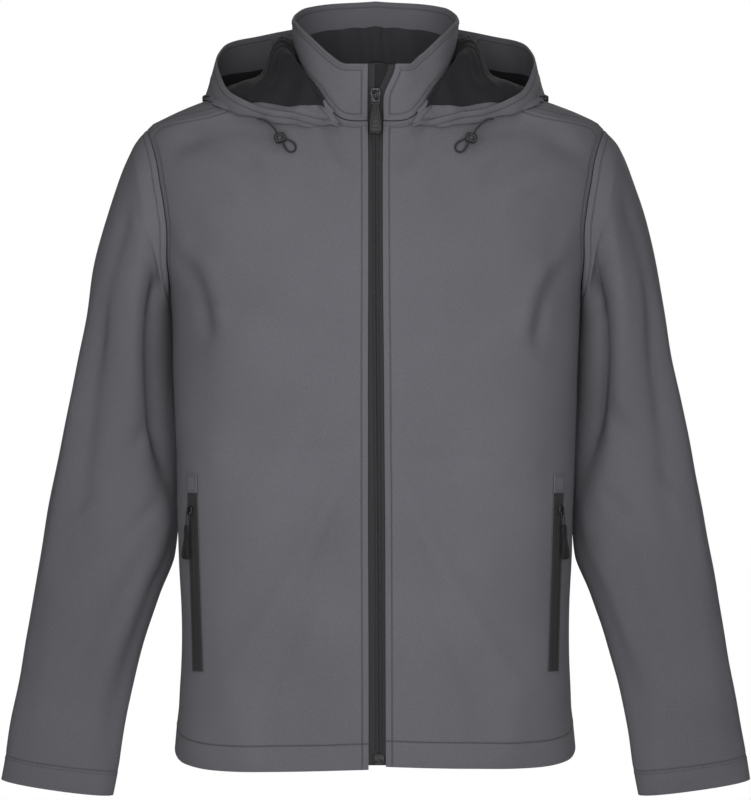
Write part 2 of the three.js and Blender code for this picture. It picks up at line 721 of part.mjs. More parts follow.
// The collar's rows, with its seam row set beside the neckline
function seatedCollarRows(lean) {
  const rows = collarRows(lean);
  rows[0] = rows[0].map((p, i, row) => {
    const tangent = row[Math.min(row.length - 1, i + 1)].clone().sub(row[Math.max(0, i - 1)]);
    return besideSeam(p, tangent.normalize(), rows[1][i]).start;
  });
  return rows;
}

function collar() {
  const surface = new Surface()
    .addGrid(seatedCollarRows(zipTopLean))
    .addGrid(bothSides(seatedCollarRows(0)), { flip: true });
  return piece("collar", wallGeometry(surface, collarCloth), "shell");
}

// The lining inside the back of the collar, with soft upright folds
function neckLining() {
  const shares = steps(20).map((t) => mix(0.66, 2, t));
  const half = steps(2).map((t) => shares.map((share) => collarPoint(share, mix(0.05, liningRise(share), t), 0)));
  const surface = new Surface().addGrid(half).addGrid(bothSides(half), { flip: true });
  surface.displace((p) => -0.9 * (1 + Math.sin(p.x / 5.2 + Math.sin(p.x / 23) * 2)));
  return piece("neck_lining", wallGeometry(surface, liningCloth, collarCloth + layerGap + 0.6), "lining");
}

const liningRise = (share) => 1 - (share < 1 ? 24 : 30) / (collarHeight(share) - neckline(share).z);

// The hood's long lines, from its left front end round the back to the right
function hoodLines() {
  const rows = hoodStations.map((s, i) => ({ ...s, i }));
  const whole = (name) => {
    const left = rows.map((s) => point(s[name + "X"], s[name + "Y"], s[name + "Z"]));
    const right = left.slice(0, -1).map(mirrored);
    return new THREE.CatmullRomCurve3([...left, ...right.reverse()], false, "catmullrom", 0.5);
  };
  return {
    fold: whole("fold"),
    rim: whole("rim"),
    share: monotone(rows, "i", "share"),
    swell: monotone(rows, "i", "swell"),
    roll: monotone(rows, "i", "roll"),
  };
}
const hoodLine = hoodLines();
const hoodSpan = 2 * (hoodStations.length - 1);

// One section of the hood at a station from 0 (left front) to hoodSpan (right front): rim first, neck last
function hoodCurve(station) {
  const onLeft = station <= hoodSpan / 2;
  const near = onLeft ? station : hoodSpan - station;
  const fold = hoodLine.fold.getPoint(station / hoodSpan);
  const rim = hoodLine.rim.getPoint(station / hoodSpan);
  const seam = neckline(hoodLine.share(near));
  if (!onLeft) seam.x = -seam.x;
  const outward = point(seam.x, seam.y, 0).normalize();
  const neck = seam.clone().addScaledVector(outward, hoodNeckStep).add(point(0, 0, 1));
  const swell = rim
    .clone()
    .lerp(fold, 0.45)
    .addScaledVector(point(fold.x, fold.y, 0).normalize(), hoodLine.swell(near));
  const roll = hoodLine.roll(near);
  const top = neck.clone().addScaledVector(outward, hoodRollStep * Math.min(1, roll / 14)).add(point(0, 0, roll));
  const rest = [0.3, 0.62].map((t) => clearOfBody(fold.clone().lerp(neck, t), hoodStandOff + 1));
  const rolled = roll > 4 ? [top] : [];
  return new THREE.CatmullRomCurve3([rim, swell, fold, ...rest, ...rolled, neck], false, "centripetal");
}

// The whole hood as one grid: rows from the neck edge to the rim, each from the left front round the back
function hoodGrid() {
  const side = steps(counts.hoodSideColumns).map((t) => t * hoodSeamStation);
  const crown = steps(counts.hoodCrownColumns).map((t) => mix(hoodSeamStation, hoodSpan - hoodSeamStation, t));
  const stations = [...side, ...crown.slice(1, -1), ...side.map((s) => hoodSpan - s).reverse()];
  const sections = stations.map((station) => {
    const curve = hoodCurve(station);
    return steps(counts.hoodRows).map((v) => clearOfBody(curve.getPointAt(v), hoodStandOff));
  });
  const rows = steps(counts.hoodRows).map((_, r) => sections.map((s) => s[counts.hoodRows - r]));
  liftOffBody(rows);
  const surface = new Surface().addGrid(rows, { mirrorFrom: (stations.length - 1) / 2 });
  const normals = surface.normals();
  return rows.map((row) => row.map((p) => facingWay(p, normals[surface.vertex(p)])));
}

// Raises the corners of every face that dips to the body between them
function liftOffBody(rows) {
  for (let pass = 0; pass < 14; pass++)
    for (let r = 0; r + 1 < rows.length; r++)
      for (let c = 0; c + 1 < rows[0].length; c++) {
        const corners = [rows[r][c], rows[r][c + 1], rows[r + 1][c + 1], rows[r + 1][c]];
        for (const [a, b] of [[0, 2], [1, 3], [0, 1], [1, 2]]) {
          const middle = corners[a].clone().add(corners[b]).multiplyScalar(0.5);
          const gradient = bodyGradient(middle);
          const distance = (fullness(middle.x, middle.y, middle.z) - 1) / gradient.length();
          if (distance >= 1.1) continue;
          gradient.normalize();
          for (const p of [corners[a], corners[b]]) p.addScaledVector(gradient, 1.2 - distance);
        }
      }
}

function hoodPieces() {
  const grid = hoodGrid();
  const columns = (from, to) => grid.map((row) => row.slice(from, to + 1));
  const seams = [0, counts.hoodSideColumns, counts.hoodSideColumns + counts.hoodCrownColumns, grid[0].length - 1];
  const plan = [
    { name: "hood_left", mirrorFrom: Infinity, rows: trimmed(columns(seams[0], seams[1]), ["end"], wideSeamGap / 2) },
    {
      name: "hood_crown",
      mirrorFrom: counts.hoodCrownColumns / 2,
      rows: trimmed(columns(seams[1], seams[2]), ["start", "end"], wideSeamGap / 2),
    },
    { name: "hood_right", mirrorFrom: 0, rows: trimmed(columns(seams[2], seams[3]), ["start"], wideSeamGap / 2) },
  ];
  const pieces = plan.map(({ name, rows, mirrorFrom }) =>
    piece(name, wallGeometry(new Surface().addGrid(rows, { mirrorFrom }), shellCloth), "shell"),
  );
  // The lining stops short of the rim all round, and short of the fold towards the front ends
  const inner = columns(hoodLiningColumn, seams[3] - hoodLiningColumn).slice(1, -counts.hoodFacingRows);
  const last = inner[0].length - 1;
  const keep = (r, c) => {
    const fromFront = Math.min(c, last - 1 - c);
    return r < hoodLiningRows[Math.min(fromFront, hoodLiningRows.length - 1)];
  };
  const surface = new Surface().addGrid(inner, { keep, mirrorFrom: last / 2 });
  const lining = wallGeometry(surface, liningCloth, shellCloth + layerGap + 0.15);
  return [...pieces, piece("hood_lining", lining, "lining")];
}

// The front's face at a signed distance from the centre: level is a height up to the neckline, then a collar rise
const neckFront = neckline(0).z;
function frontFace(x, level, lean = 0) {
  if (level.rise === undefined) {
    const at = x + zipShift(level.z);
    const p = body(Math.abs(at) / planPoint(0, ringAt(level.z)).length, level.z);
    return at < 0 ? mirrored(p) : p;
  }
  const p = collarPoint(Math.abs(x) / planPoint(0, neckHole).length, level.rise, lean);
  return x < 0 ? mirrored(p) : p;
}

// Levels up the zip between two heights
function zipLevels(from, to) {
  const low = [-694, -640, -560, -470, -378, -290, -215, -160, -110, -75, neckFront - 8]
    .filter((z) => z > from + 6 && z < Math.min(to, neckFront) - 4)
    .map((z) => ({ z }));
  const top = collarHeight(0);
  const riseOf = (z) => (z - neckFront) / (top - neckFront);
  const high = [0.01, 0.12, 0.35, 0.5, 0.65, 0.8, 0.9]
    .map((rise) => ({ rise, z: mix(neckFront, top, rise) }))
    .filter(({ z }) => z > from + 4 && z < to - 4);
  const end = (z) => (z > neckFront ? { rise: riseOf(z), z } : { z });
  return [end(from), ...low, ...high, end(to)];
}

// A strip behind the front edges: depth is measured from the face of the cloth
function zipStrip(name, { from, to, xs, depth, thickness, lean = 0, kind }) {
  const levels = zipLevels(from, to);
  const rows = levels.map((level) => xs.map((x) => frontFace(x, level, lean)));
  const surface = new Surface().addGrid(rows);
  const normals = surface.normals();
  const behind = (p) =>
    depth +
    smooth(neckFront - 20, neckFront - 8, p.z) * (collarCloth - shellCloth + 0.35) +
    1.7 * Math.exp(-(((p.z - neckFront) / 11) ** 2));
  surface.points.forEach((p, i) => p.addScaledVector(normals[i], -behind(p)));
  return piece(name, wallGeometry(surface, thickness), kind);
}

// A round rod along a curve, closed at both ends
function rod(curve, radius, rings, around = 8) {
  const frames = curve.computeFrenetFrames(rings, false);
  const positions = [];
  const indices = [];
  steps(rings).forEach((t, i) => {
    const centre = curve.getPointAt(t);
    for (let k = 0; k < around; k++) {
      const turn = (2 * Math.PI * k) / around;
      const p = centre
        .clone()
        .addScaledVector(frames.normals[i], radius * Math.cos(turn))
        .addScaledVector(frames.binormals[i], radius * Math.sin(turn));
      positions.push(...p.toArray());
    }
  });
  const at = (ring, k) => ring * around + (k % around);
  for (let r = 0; r < rings; r++)
    for (let k = 0; k < around; k++)
      indices.push(at(r, k), at(r, k + 1), at(r + 1, k + 1), at(r, k), at(r + 1, k + 1), at(r + 1, k));
  for (let k = 1; k + 1 < around; k++) {
    indices.push(at(0, 0), at(0, k + 1), at(0, k));
    indices.push(at(rings, 0), at(rings, k), at(rings, k + 1));
  }
  const geometry = new THREE.BufferGeometry();
  geometry.setAttribute("position", new THREE.Float32BufferAttribute(positions, 3));
  geometry.setIndex(indices);
  return geometry;
}

// A flat slab with an outline in x and y, from z = 0 up, with softened edges
function slab(corners, thickness, soft) {
  const shape = new THREE.Shape(corners.map(([x, y]) => new THREE.Vector2(x, y)));
  const geometry = new THREE.ExtrudeGeometry(shape, {
    depth: thickness - 2 * soft,
    bevelThickness: soft,
    bevelSize: soft,
    bevelOffset: -soft,
    bevelSegments: 1,
  });
  return geometry.translate(0, 0, soft);
}

const joinSolids = (...parts) => parts.map(toSolid).reduce((a, b) => a.add(b));

// Puts a geometry drawn with x across, y up and z out at a place
function placed(geometry, place, across, up, out) {
  return geometry.clone().applyMatrix4(new THREE.Matrix4().makeBasis(across, up, out).setPosition(place));
}

// A bent wire bridge over a slider, open along x, standing on z = 0
function bridge(reach, height, radius) {
  const curve = new THREE.CatmullRomCurve3([
    point(0, reach, -0.6),
    point(0, reach, height * 0.6),
    point(0, reach * 0.5, height),
    point(0, -reach * 0.5, height),
    point(0, -reach, height * 0.6),
    point(0, -reach, -0.6),
  ]);
  return rod(curve, radius, 14, 8);
}

// A slider: a plate wider at its top, with a bridge for the pull
function slider(size) {
  const { top, foot, height, thickness, reach, rise, wire } = size;
  const plate = slab(
    [
      [-foot / 2, -height / 2],
      [foot / 2, -height / 2],
      [top / 2, height * 0.15],
      [top / 2 - 0.5, height / 2],
      [-top / 2 + 0.5, height / 2],
      [-top / 2, height * 0.15],
    ],
    thickness,
    0.6,
  );
  return fromSolid(joinSolids(plate, bridge(reach, rise, wire).translate(0, 0, thickness)));
}

// A closed wire loop in the plane z = 0 that hangs from the origin
function wireLoop(points, radius) {
  const curve = new THREE.CatmullRomCurve3(
    points.map(([x, y]) => point(x, y, 0)),
    true,
    "centripetal",
  );
  return new THREE.TubeGeometry(curve, 20, radius, 6, true);
}

const mainSlider = { top: 10.5, foot: 8, height: 14, thickness: 3, reach: 4.4, rise: 3.9, wire: 0.8 };
const pocketSlider = { top: 7.5, foot: 6, height: 9.5, thickness: 2.2, reach: 3, rise: 2.8, wire: 0.65 };

// Pulls are drawn below their pin: the loop all round, the grip by its right edge from the top down
const mainRing = [
  [0, 0],
  [3.2, -1.4],
  [3.9, -5],
  [2.7, -9.2],
  [0, -10.4],
  [-2.7, -9.2],
  [-3.9, -5],
  [-3.2, -1.4],
];
const mainGripEdge = [
  [2.2, -8],
  [2.8, -11],
  [3.8, -17],
  [5.4, -27],
  [5.6, -36],
  [4, -38.5],
];
const pocketLoop = [
  [0, 0],
  [2.3, -1],
  [2.5, -5.5],
  [2.5, -13],
  [2.3, -16.5],
  [0, -17.5],
  [-2.3, -16.5],
  [-2.5, -13],
  [-2.5, -5.5],
  [-2.3, -1],
];
const pocketGripEdge = [
  [2.6, -15],
  [3.4, -18.5],
  [3, -23.5],
  [2.5, -28.5],
  [3.6, -34.5],
  [4.9, -41.5],
  [4.9, -47.5],
  [3, -50],
];
const bothEdges = (edge) => [...edge.map(([x, y]) => [-x, y]), ...edge.toReversed()];

function mainZip() {
  const top = collarHeight(0) - 0.6;
  const foot = hemHeight.left + 1.2;
  const tapeDepth = shellCloth + layerGap;
  const chainDepth = tapeDepth - layerGap - 1.5;
  const tape = { from: foot, to: top, depth: tapeDepth, thickness: tapeCloth, kind: "tape" };
  const pieces = [
    zipStrip("zip_tape_left", { ...tape, xs: [0.2, 6.5, 12, 17], lean: zipTopLean }),
    zipStrip("zip_tape_right", { ...tape, xs: [-17, -12, -6.5, -0.2] }),
    zipStrip("zip_chain", {
      from: foot + 12.5,
      to: mainSliderZ + 2,
      xs: [-2.9, 0, 2.9],
      depth: chainDepth,
      thickness: 1.5,
      kind: "tape",
    }),
    zipStrip("wind_flap", {
      from: foot + 2,
      to: top,
      xs: [-21, -10, 2, 14, 27],
      depth: tapeDepth + tapeCloth + 0.8,
      thickness: 1.2,
      kind: "lining",
    }),
  ];
  const [across, up, out] = [point(1, 0, 0), point(0, 0, 1), point(0, -1, 0)];
  const boxFace = frontFace(0, { z: foot + 6 });
  const box = slab([[-5.8, -5.5], [5.8, -5.5], [5.8, 5.5], [-5.8, 5.5]], 2.6, 0.5);
  pieces.push(piece("zip_box", placed(box, boxFace.addScaledVector(out, -chainDepth - 1.5), across, up, out), "grip"));

  const seat = frontFace(0, { rise: (mainSliderZ - neckFront) / (collarHeight(0) - neckFront) });
  const lift = -chainDepth - (collarCloth - shellCloth) + 0.5;
  const base = seat.clone().addScaledVector(out, lift);
  pieces.push(piece("main_slider", placed(slider(mainSlider), base, across, up, out), "slider"));

  // The pull's ring goes through the slider's bridge, and its grip hangs below
  const pin = base.clone().addScaledVector(out, mainSlider.thickness + 1.9);
  pieces.push(piece("main_pull_ring", placed(wireLoop(mainRing, 0.75), pin, across, up, out), "slider"));
  const grip = slab(bothEdges(mainGripEdge), 2.8, 0.7).translate(0, 0, -1.4);
  const cut = fromSolid(toSolid(grip).subtract(toSolid(wireLoop(mainRing, 1.1))));
  pieces.push(piece("main_pull_grip", placed(cut, pin, across, up, out), "grip"));
  return { pieces, pin };
}

// The place and directions on a pocket's line: t runs down it, and across points to the side seam
function pocketPlace(t, across = 0) {
  const lineAt = (v) => {
    const [x, z] = [mix(pocket.top.x, pocket.bottom.x, v), mix(pocket.top.z, pocket.bottom.z, v)];
    return point(x, bodyFaceY(x, z), z);
  };
  const centre = lineAt(t);
  const up = lineAt(t - 0.01).sub(lineAt(t + 0.01)).normalize();
  const out = bodyGradient(centre).normalize();
  const aside = up.clone().cross(out).normalize();
  out.crossVectors(aside, up).normalize();
  const p = centre.clone().addScaledVector(aside, across);
  if (across !== 0) p.y = bodyFaceY(p.x, p.z);
  return { p, aside, up, out };
}

function bodyFaceY(x, z) {
  const ring = ringAt(z);
  return -ring.front * Math.max(0, 1 - (Math.abs(x) / ring.side) ** ring.square) ** (1 / ring.square);
}

// A strip lying on the front beside the zip line of a pocket
function pocketStrip(name, from, to, xs, lift, thickness, rows, kind) {
  const grid = steps(rows).map((v) => xs.map((x) => pocketPlace(mix(to, from, v), x).p));
  return piece(name, wallGeometry(new Surface().addGrid(grid), thickness, -lift - thickness), kind);
}

function leftPocket() {
  const length = pocket.top.z - pocket.bottom.z;
  const half = pocket.width / 2;
  const garageHeight = pocket.garageTop - pocket.top.z;
  const tapeTop = layerGap + tapeCloth;
  const chainTop = tapeTop + layerGap + 1;
  const pieces = [
    pocketStrip("pocket_zip", 0, 1, [-half, -2.6, 2.6, half], layerGap, tapeCloth, 9, "tape"),
    pocketStrip("pocket_chain", 8 / length, 0.985, [-2.3, 0, 2.3], tapeTop + layerGap, 1, 9, "tape"),
    pocketStrip(
      "pocket_garage",
      -garageHeight / length,
      -0.6 / length,
      [-half - 1, -3, 3, half + 1],
      layerGap,
      1.2,
      2,
      "shell",
    ),
  ];
  const { p, aside, up, out } = pocketPlace((pocket.top.z - pocket.sliderZ) / length);
  const base = p.clone().addScaledVector(out, chainTop + 0.45);
  pieces.push(piece("pocket_slider", placed(slider(pocketSlider), base, aside, up, out), "slider"));
  const pin = base.clone().addScaledVector(out, pocketSlider.thickness + 0.95);
  // The pull leans towards the side seam as it hangs
  const lean = radians(9);
  const hang = up.clone().applyAxisAngle(out, lean);
  const wide = aside.clone().applyAxisAngle(out, lean);
  pieces.push(piece("pocket_pull_loop", placed(wireLoop(pocketLoop, 0.6), pin, wide, hang, out), "slider"));
  const grip = slab(bothEdges(pocketGripEdge), 3, 0.8).translate(0, 0, -1.3);
  const cut = fromSolid(toSolid(grip).subtract(toSolid(wireLoop(pocketLoop, 0.95))));
  pieces.push(piece("pocket_pull_grip", placed(cut, pin, wide, hang, out), "grip"));
  return { pieces, pin, axis: wide };
}

// The drawcord leaves the hood's channel, runs through its lock and comes back as a loop
const cordPath = [
  { x: 119, y: -98.5, z: -41.5 },
  { x: 113, y: -103.5, z: -43 },
  { x: 106.5, y: -105.5, z: -47.5 },
  { x: 101, y: -106, z: -53.5 },
  { x: 97, y: -107, z: -62 },
  { x: 93.5, y: -108, z: -66.5 },
  { x: 91, y: -108.5, z: -71.5 },
  { x: 87.5, y: -109, z: -75.3 },
  { x: 83.2, y: -109.5, z: -75.8 },
  { x: 80.3, y: -109.5, z: -72.6 },
  { x: 81.2, y: -109, z: -68.2 },
  { x: 85.5, y: -108.5, z: -64.8 },
  { x: 91, y: -108, z: -62.6 },
];
const cordRadius = 1.1;
const cordLock = { x: 96.3, y: -107, z: -61.5, wide: 11.5, tall: 9.5, deep: 8.5, turn: 16 };

function leftCord() {
  const curve = new THREE.CatmullRomCurve3(
    cordPath.map((c) => point(c.x, c.y, c.z)),
    false,
    "centripetal",
  );
  const cord = rod(curve, cordRadius, 36, 6);
  const room = rod(curve, cordRadius + 0.3, 36, 6);
  const { wide, tall, deep } = cordLock;
  const edge = [
    [wide * 0.38, tall * 0.5],
    [wide * 0.5, tall * 0.25],
    [wide * 0.5, -tall * 0.25],
    [wide * 0.38, -tall * 0.5],
  ];
  const lock = slab(bothEdges(edge), deep, 1.2).translate(0, 0, -deep / 2);
  const turn = radians(cordLock.turn);
  const across = point(Math.cos(turn), 0, -Math.sin(turn));
  const up = point(Math.sin(turn), 0, Math.cos(turn));
  const out = point(0, -1, 0);
  const set = placed(lock, point(cordLock.x, cordLock.y, cordLock.z), across, up, out);
  return [
    piece("drawcord", cord, "cord"),
    piece("cord_lock", fromSolid(toSolid(set).subtract(toSolid(room))), "grip"),
  ];
}

// A narrow tape folded to a U, open at its top
const hangerOutline = [
  [-3, 5],
  [-3, -3.5],
  [-1.6, -5],
  [1.6, -5],
  [3, -3.5],
  [3, 5],
  [1.5, 5],
  [1.5, -3],
  [0.8, -3.6],
  [-0.8, -3.6],
  [-1.5, -3],
  [-1.5, 5],
];

function hangerLoop() {
  const loop = slab(hangerOutline, 1.4, 0.3);
  const rise = liningRise(2) - 0.02;
  const wall = collarPoint(2, rise, 0);
  const low = collarPoint(2, rise - 0.2, 0);
  const up = wall.clone().sub(low).normalize();
  const out = point(1, 0, 0).cross(up).normalize();
  const place = wall.clone().addScaledVector(out, collarCloth + layerGap * 2 + liningCloth + 1.5).addScaledVector(up, -4);
  place.x = 3.7;
  return piece("hanger_loop", placed(loop, place, point(1, 0, 0), up, out), "tape");
}

const jacket = new THREE.Group();
jacket.name = "softshell_jacket";
jacket.add(frontPanel("front_left", 1));
jacket.add(frontPanel("front_right", -1));
jacket.add(backPanel(), ...sleeves(), collar(), neckLining(), hangerLoop());
jacket.add(...hoodPieces());

const main = mainZip();
jacket.add(...main.pieces);
for (const part of [...leftPocket().pieces, ...leftCord()]) {
  const kindOf = part.material;
  for (const [side, geometry] of [["left", part.geometry], ["right", mirroredGeometry(part.geometry)]]) {
    const mesh = new THREE.Mesh(geometry, kindOf);
    mesh.name = part.name + "_" + side;
    jacket.add(mesh);
  }
}

export default jacket;
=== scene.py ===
# A hooded softshell jacket, filled out with nobody in it.
# Tables are in millimetres, as in the CAD source, and meshes are made in metres.

import math

import bmesh
import bpy
import numpy as np
from mathutils import Matrix, Vector
from mathutils.kdtree import KDTree


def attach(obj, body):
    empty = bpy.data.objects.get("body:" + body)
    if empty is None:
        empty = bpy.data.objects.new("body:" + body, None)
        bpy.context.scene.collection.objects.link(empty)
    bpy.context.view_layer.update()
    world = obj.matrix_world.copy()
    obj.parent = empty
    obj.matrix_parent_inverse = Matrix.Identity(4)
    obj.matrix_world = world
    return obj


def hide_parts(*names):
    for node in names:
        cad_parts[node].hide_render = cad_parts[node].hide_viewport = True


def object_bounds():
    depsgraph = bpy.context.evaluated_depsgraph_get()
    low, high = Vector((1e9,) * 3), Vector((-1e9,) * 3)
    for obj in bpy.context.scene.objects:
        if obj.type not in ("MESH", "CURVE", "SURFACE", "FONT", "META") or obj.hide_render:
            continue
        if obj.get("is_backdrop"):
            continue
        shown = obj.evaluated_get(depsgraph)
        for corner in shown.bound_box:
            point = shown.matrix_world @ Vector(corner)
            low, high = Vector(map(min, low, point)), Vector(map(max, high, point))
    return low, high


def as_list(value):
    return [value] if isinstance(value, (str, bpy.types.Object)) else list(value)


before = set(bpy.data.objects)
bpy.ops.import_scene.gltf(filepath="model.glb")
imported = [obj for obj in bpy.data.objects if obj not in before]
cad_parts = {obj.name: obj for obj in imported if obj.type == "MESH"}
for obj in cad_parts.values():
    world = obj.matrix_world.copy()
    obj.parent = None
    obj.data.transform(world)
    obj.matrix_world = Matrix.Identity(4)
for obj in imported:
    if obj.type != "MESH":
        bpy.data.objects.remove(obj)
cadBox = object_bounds()
scene = bpy.context.scene
mm = 0.001
print("frame loaded with", len(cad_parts), "nodes")

# Camera
cameraSet = {"distance": 2600, "height": -325.5, "mmPerPixel": 1.05, "rows": 800, "sensor": 36, "clipEnd": 60}


def setCamera():
    data = bpy.data.cameras.new("photoCamera")
    data.sensor_width = cameraSet["sensor"]
    data.lens = cameraSet["sensor"] * cameraSet["distance"] / (cameraSet["mmPerPixel"] * cameraSet["rows"])
    data.clip_end = cameraSet["clipEnd"]
    eye = bpy.data.objects.new("photoCamera", data)
    eye.location = (0, -cameraSet["distance"] * mm, cameraSet["height"] * mm)
    eye.rotation_euler = (math.radians(90), 0, 0)
    scene.collection.objects.link(eye)
    scene.camera = eye


setCamera()
print("camera set")


# Materials: a socket that takes part in sums
class Wire:
    def __init__(self, tree, socket):
        self.tree = tree
        self.socket = socket

    def make(self, kind, settings=None, inputs=None, output=0):
        node = self.tree.nodes.new(kind)
        for name, value in (settings or {}).items():
            setattr(node, name, value)
        for key, value in (inputs or {}).items():
            if isinstance(value, Wire):
                self.tree.links.new(value.socket, node.inputs[key])
            else:
                node.inputs[key].default_value = value
        return Wire(self.tree, node.outputs[output])

    def sum(self, operation, first, second=0.0):
        return self.make("ShaderNodeMath", {"operation": operation}, {0: first, 1: second})

    def __add__(self, other):
        return self.sum("ADD", self, other)

    def __radd__(self, other):
        return self.sum("ADD", other, self)

    def __sub__(self, other):
        return self.sum("SUBTRACT", self, other)

    def __rsub__(self, other):
        return self.sum("SUBTRACT", other, self)

    def __mul__(self, other):
        return self.sum("MULTIPLY", self, other)

    def __rmul__(self, other):
        return self.sum("MULTIPLY", other, self)

    def __truediv__(self, other):
        return self.sum("DIVIDE", self, other)

    def __pow__(self, other):
        return self.sum("POWER", self, other)

    def __rpow__(self, other):
        return self.sum("POWER", other, self)

    def sine(self):
        return self.sum("SINE", self)

    def size(self):
        return self.sum("ABSOLUTE", self)

    def clipped(self):
        return self.make("ShaderNodeClamp", {}, {0: self})

    def split(self):  # a vector's three numbers
        node = self.make("ShaderNodeSeparateXYZ", {}, {0: self}).socket.node
        return [Wire(self.tree, socket) for socket in node.outputs]

    def blend(self, low, high):
        return self.make("ShaderNodeMix", {"data_type": "RGBA"}, {0: self, 6: low, 7: high}, output=2)

    def bump(self, distance, strength=1.0, under=None):
        inputs = {"Height": self, "Distance": distance, "Strength": strength}
        if under:
            inputs["Normal"] = under
        return self.make("ShaderNodeBump", {}, inputs)


def newMaterial(name, fixed):
    material = bpy.data.materials.new(name)
    material.use_nodes = True
    tree = material.node_tree
    shader = tree.nodes["Principled BSDF"]
    for key, value in fixed.items():
        shader.inputs[key].default_value = value
    return material, Wire(tree, None), shader


def feed(wire, shader, key):
    wire.tree.links.new(wire.socket, shader.inputs[key])


def objectPlace(wire):
    return wire.make("ShaderNodeTexCoord", output=3)


def clothPlace(wire):
    return wire.make("ShaderNodeUVMap", {"uv_map": "weave"})


def spot(wire, scale, detail=2.0):
    inputs = {"Scale": scale, "Detail": detail, "Vector": objectPlace(wire)}
    return wire.make("ShaderNodeTexNoise", {}, inputs)


def grey(level, purple=0.0):
    return (level, level * (1 - purple), level * (1.03 + 3.2 * purple), 1)


shellFabric = {
    "fixed": {"Sheen Weight": 0.03, "Sheen Roughness": 0.4, "Specular IOR Level": 0.2},
    "shade": 0.105,
    "purple": 0.022,
    "mottleAndFoldShade": 0.28,
    "heather": 0.4,
    "yarn": 0.3,
    "threadPitch": 0.00062,
    "threadBump": 0.00014,
    "stitchFromEdge": 0.0065,
    "stitchFromHem": 0.026,
    "stitchLine": 0.0009,
    "puckerBump": 0.0011,
}


def makeShell():
    cloth = shellFabric
    material, start, shader = newMaterial("softshellCloth", cloth["fixed"])
    across, along, _ = clothPlace(start).split()
    turn = 2 * math.pi / cloth["threadPitch"]
    threads = (across * turn).sine() * (along * turn).sine()
    seam = start.make("ShaderNodeAttribute", {"attribute_name": "seam"}, output=2)
    hem = start.make("ShaderNodeAttribute", {"attribute_name": "hem"}, output=2)
    seamLine = math.e ** (((seam - cloth["stitchFromEdge"]) / cloth["stitchLine"]) ** 2 * -1)
    hemLine = math.e ** (((hem - cloth["stitchFromHem"]) / cloth["stitchLine"]) ** 2 * -1)
    grooves = (seamLine + hemLine).clipped()
    nearSeam = (1 - seam / 0.016).clipped()
    nearHem = (1 - (hem - 0.012).size() / 0.02).clipped()
    puckers = spot(start, 95, 1.0) * (nearSeam * 0.7 + nearHem * 0.6).clipped()
    # broad soft blotches of tone: partly the cloth's own mottle, partly painted shade standing in for the
    # shading of its folds
    broadToneAndShade = spot(start, 8, 2.5)
    fine = spot(start, 900, 1.0)
    yarn = spot(start, 2600, 0.0)
    shade = 1 + (broadToneAndShade - 0.5) * cloth["mottleAndFoldShade"] + (fine - 0.5) * cloth["heather"]
    # the stitch grooves are darkened in the colour: painted shade in them; the same grooves are also sunk in
    # the bump below
    shade = shade + (yarn - 0.5) * cloth["yarn"] - grooves * 0.3 + threads * 0.04
    dark, light = (grey(cloth["shade"] * share, cloth["purple"]) for share in (0.5, 1.5))
    feed((shade - 0.5).clipped().blend(dark, light), shader, "Base Color")
    feed((0.84 + (fine - 0.5) * 0.1 + threads * 0.03).clipped(), shader, "Roughness")
    relief = (puckers * cloth["puckerBump"] / 0.001).bump(0.001, 0.9)
    relief = (0 - grooves).bump(0.0005, 0.8, relief)
    feed((threads + fine).bump(cloth["threadBump"], 0.7, relief), shader, "Normal")
    return material


liningFabric = {
    "fixed": {"Sheen Weight": 0.05, "Sheen Roughness": 0.35, "Specular IOR Level": 0.15},
    # the hood's knit is darkened, painted shade for the hood's deep hollow, and the neck's is lightened,
    # painted light against the shade inside the collar; both are the same lining knit
    "shades": {"hoodKnitPaintedShade": 0.014, "neckKnitPaintedLight": 0.03, "fleeceInside": 0.045},
    "purple": 0.03,
    "knitPitch": 0.0016,
}


def makeLining(name):
    material, start, shader = newMaterial(name, liningFabric["fixed"])
    across, _, up = objectPlace(start).split()
    turn = 2 * math.pi / liningFabric["knitPitch"]
    mesh = (across * turn).sine() * (up * turn).sine()
    cloud = spot(start, 14, 3.0)
    fine = spot(start, 700, 1.0)
    tone = (0.5 + (cloud - 0.5) * 0.5 + mesh * 0.15 + (fine - 0.5) * 0.3).clipped()
    dark, light = (grey(liningFabric["shades"][name] * share, liningFabric["purple"]) for share in (0.6, 1.4))
    feed(tone.blend(dark, light), shader, "Base Color")
    feed((0.86 + (fine - 0.5) * 0.12).clipped(), shader, "Roughness")
    feed((mesh * 0.5 + fine).bump(0.00025, 0.6), shader, "Normal")
    return material


tapeFabric = {
    "fixed": {"Sheen Weight": 0.05, "Specular IOR Level": 0.25},
    "shade": 0.018,
    "purple": 0.02,
    "ribPitch": 0.0011,
}


def makeTape():
    material, start, shader = newMaterial("wovenTape", tapeFabric["fixed"])
    across, _, up = objectPlace(start).split()
    ribs = (up * (2 * math.pi / tapeFabric["ribPitch"]) + (across * 5200).sine() * 1.2).sine()
    fine = spot(start, 1500, 1.0)
    tone = (0.5 + ribs * 0.18 + (fine - 0.5) * 0.4).clipped()
    dark, light = (grey(tapeFabric["shade"] * share, tapeFabric["purple"]) for share in (0.6, 1.5))
    feed(tone.blend(dark, light), shader, "Base Color")
    feed((0.68 + ribs * 0.05).clipped(), shader, "Roughness")
    feed((ribs * 0.6 + fine).bump(0.00022, 0.7), shader, "Normal")
    return material


gunmetalFinish = {
    "metallic": 0.9,
    "dark": (0.018, 0.018, 0.02, 1),
    "worn": (0.07, 0.07, 0.075, 1),
    "roughness": 0.34,
}


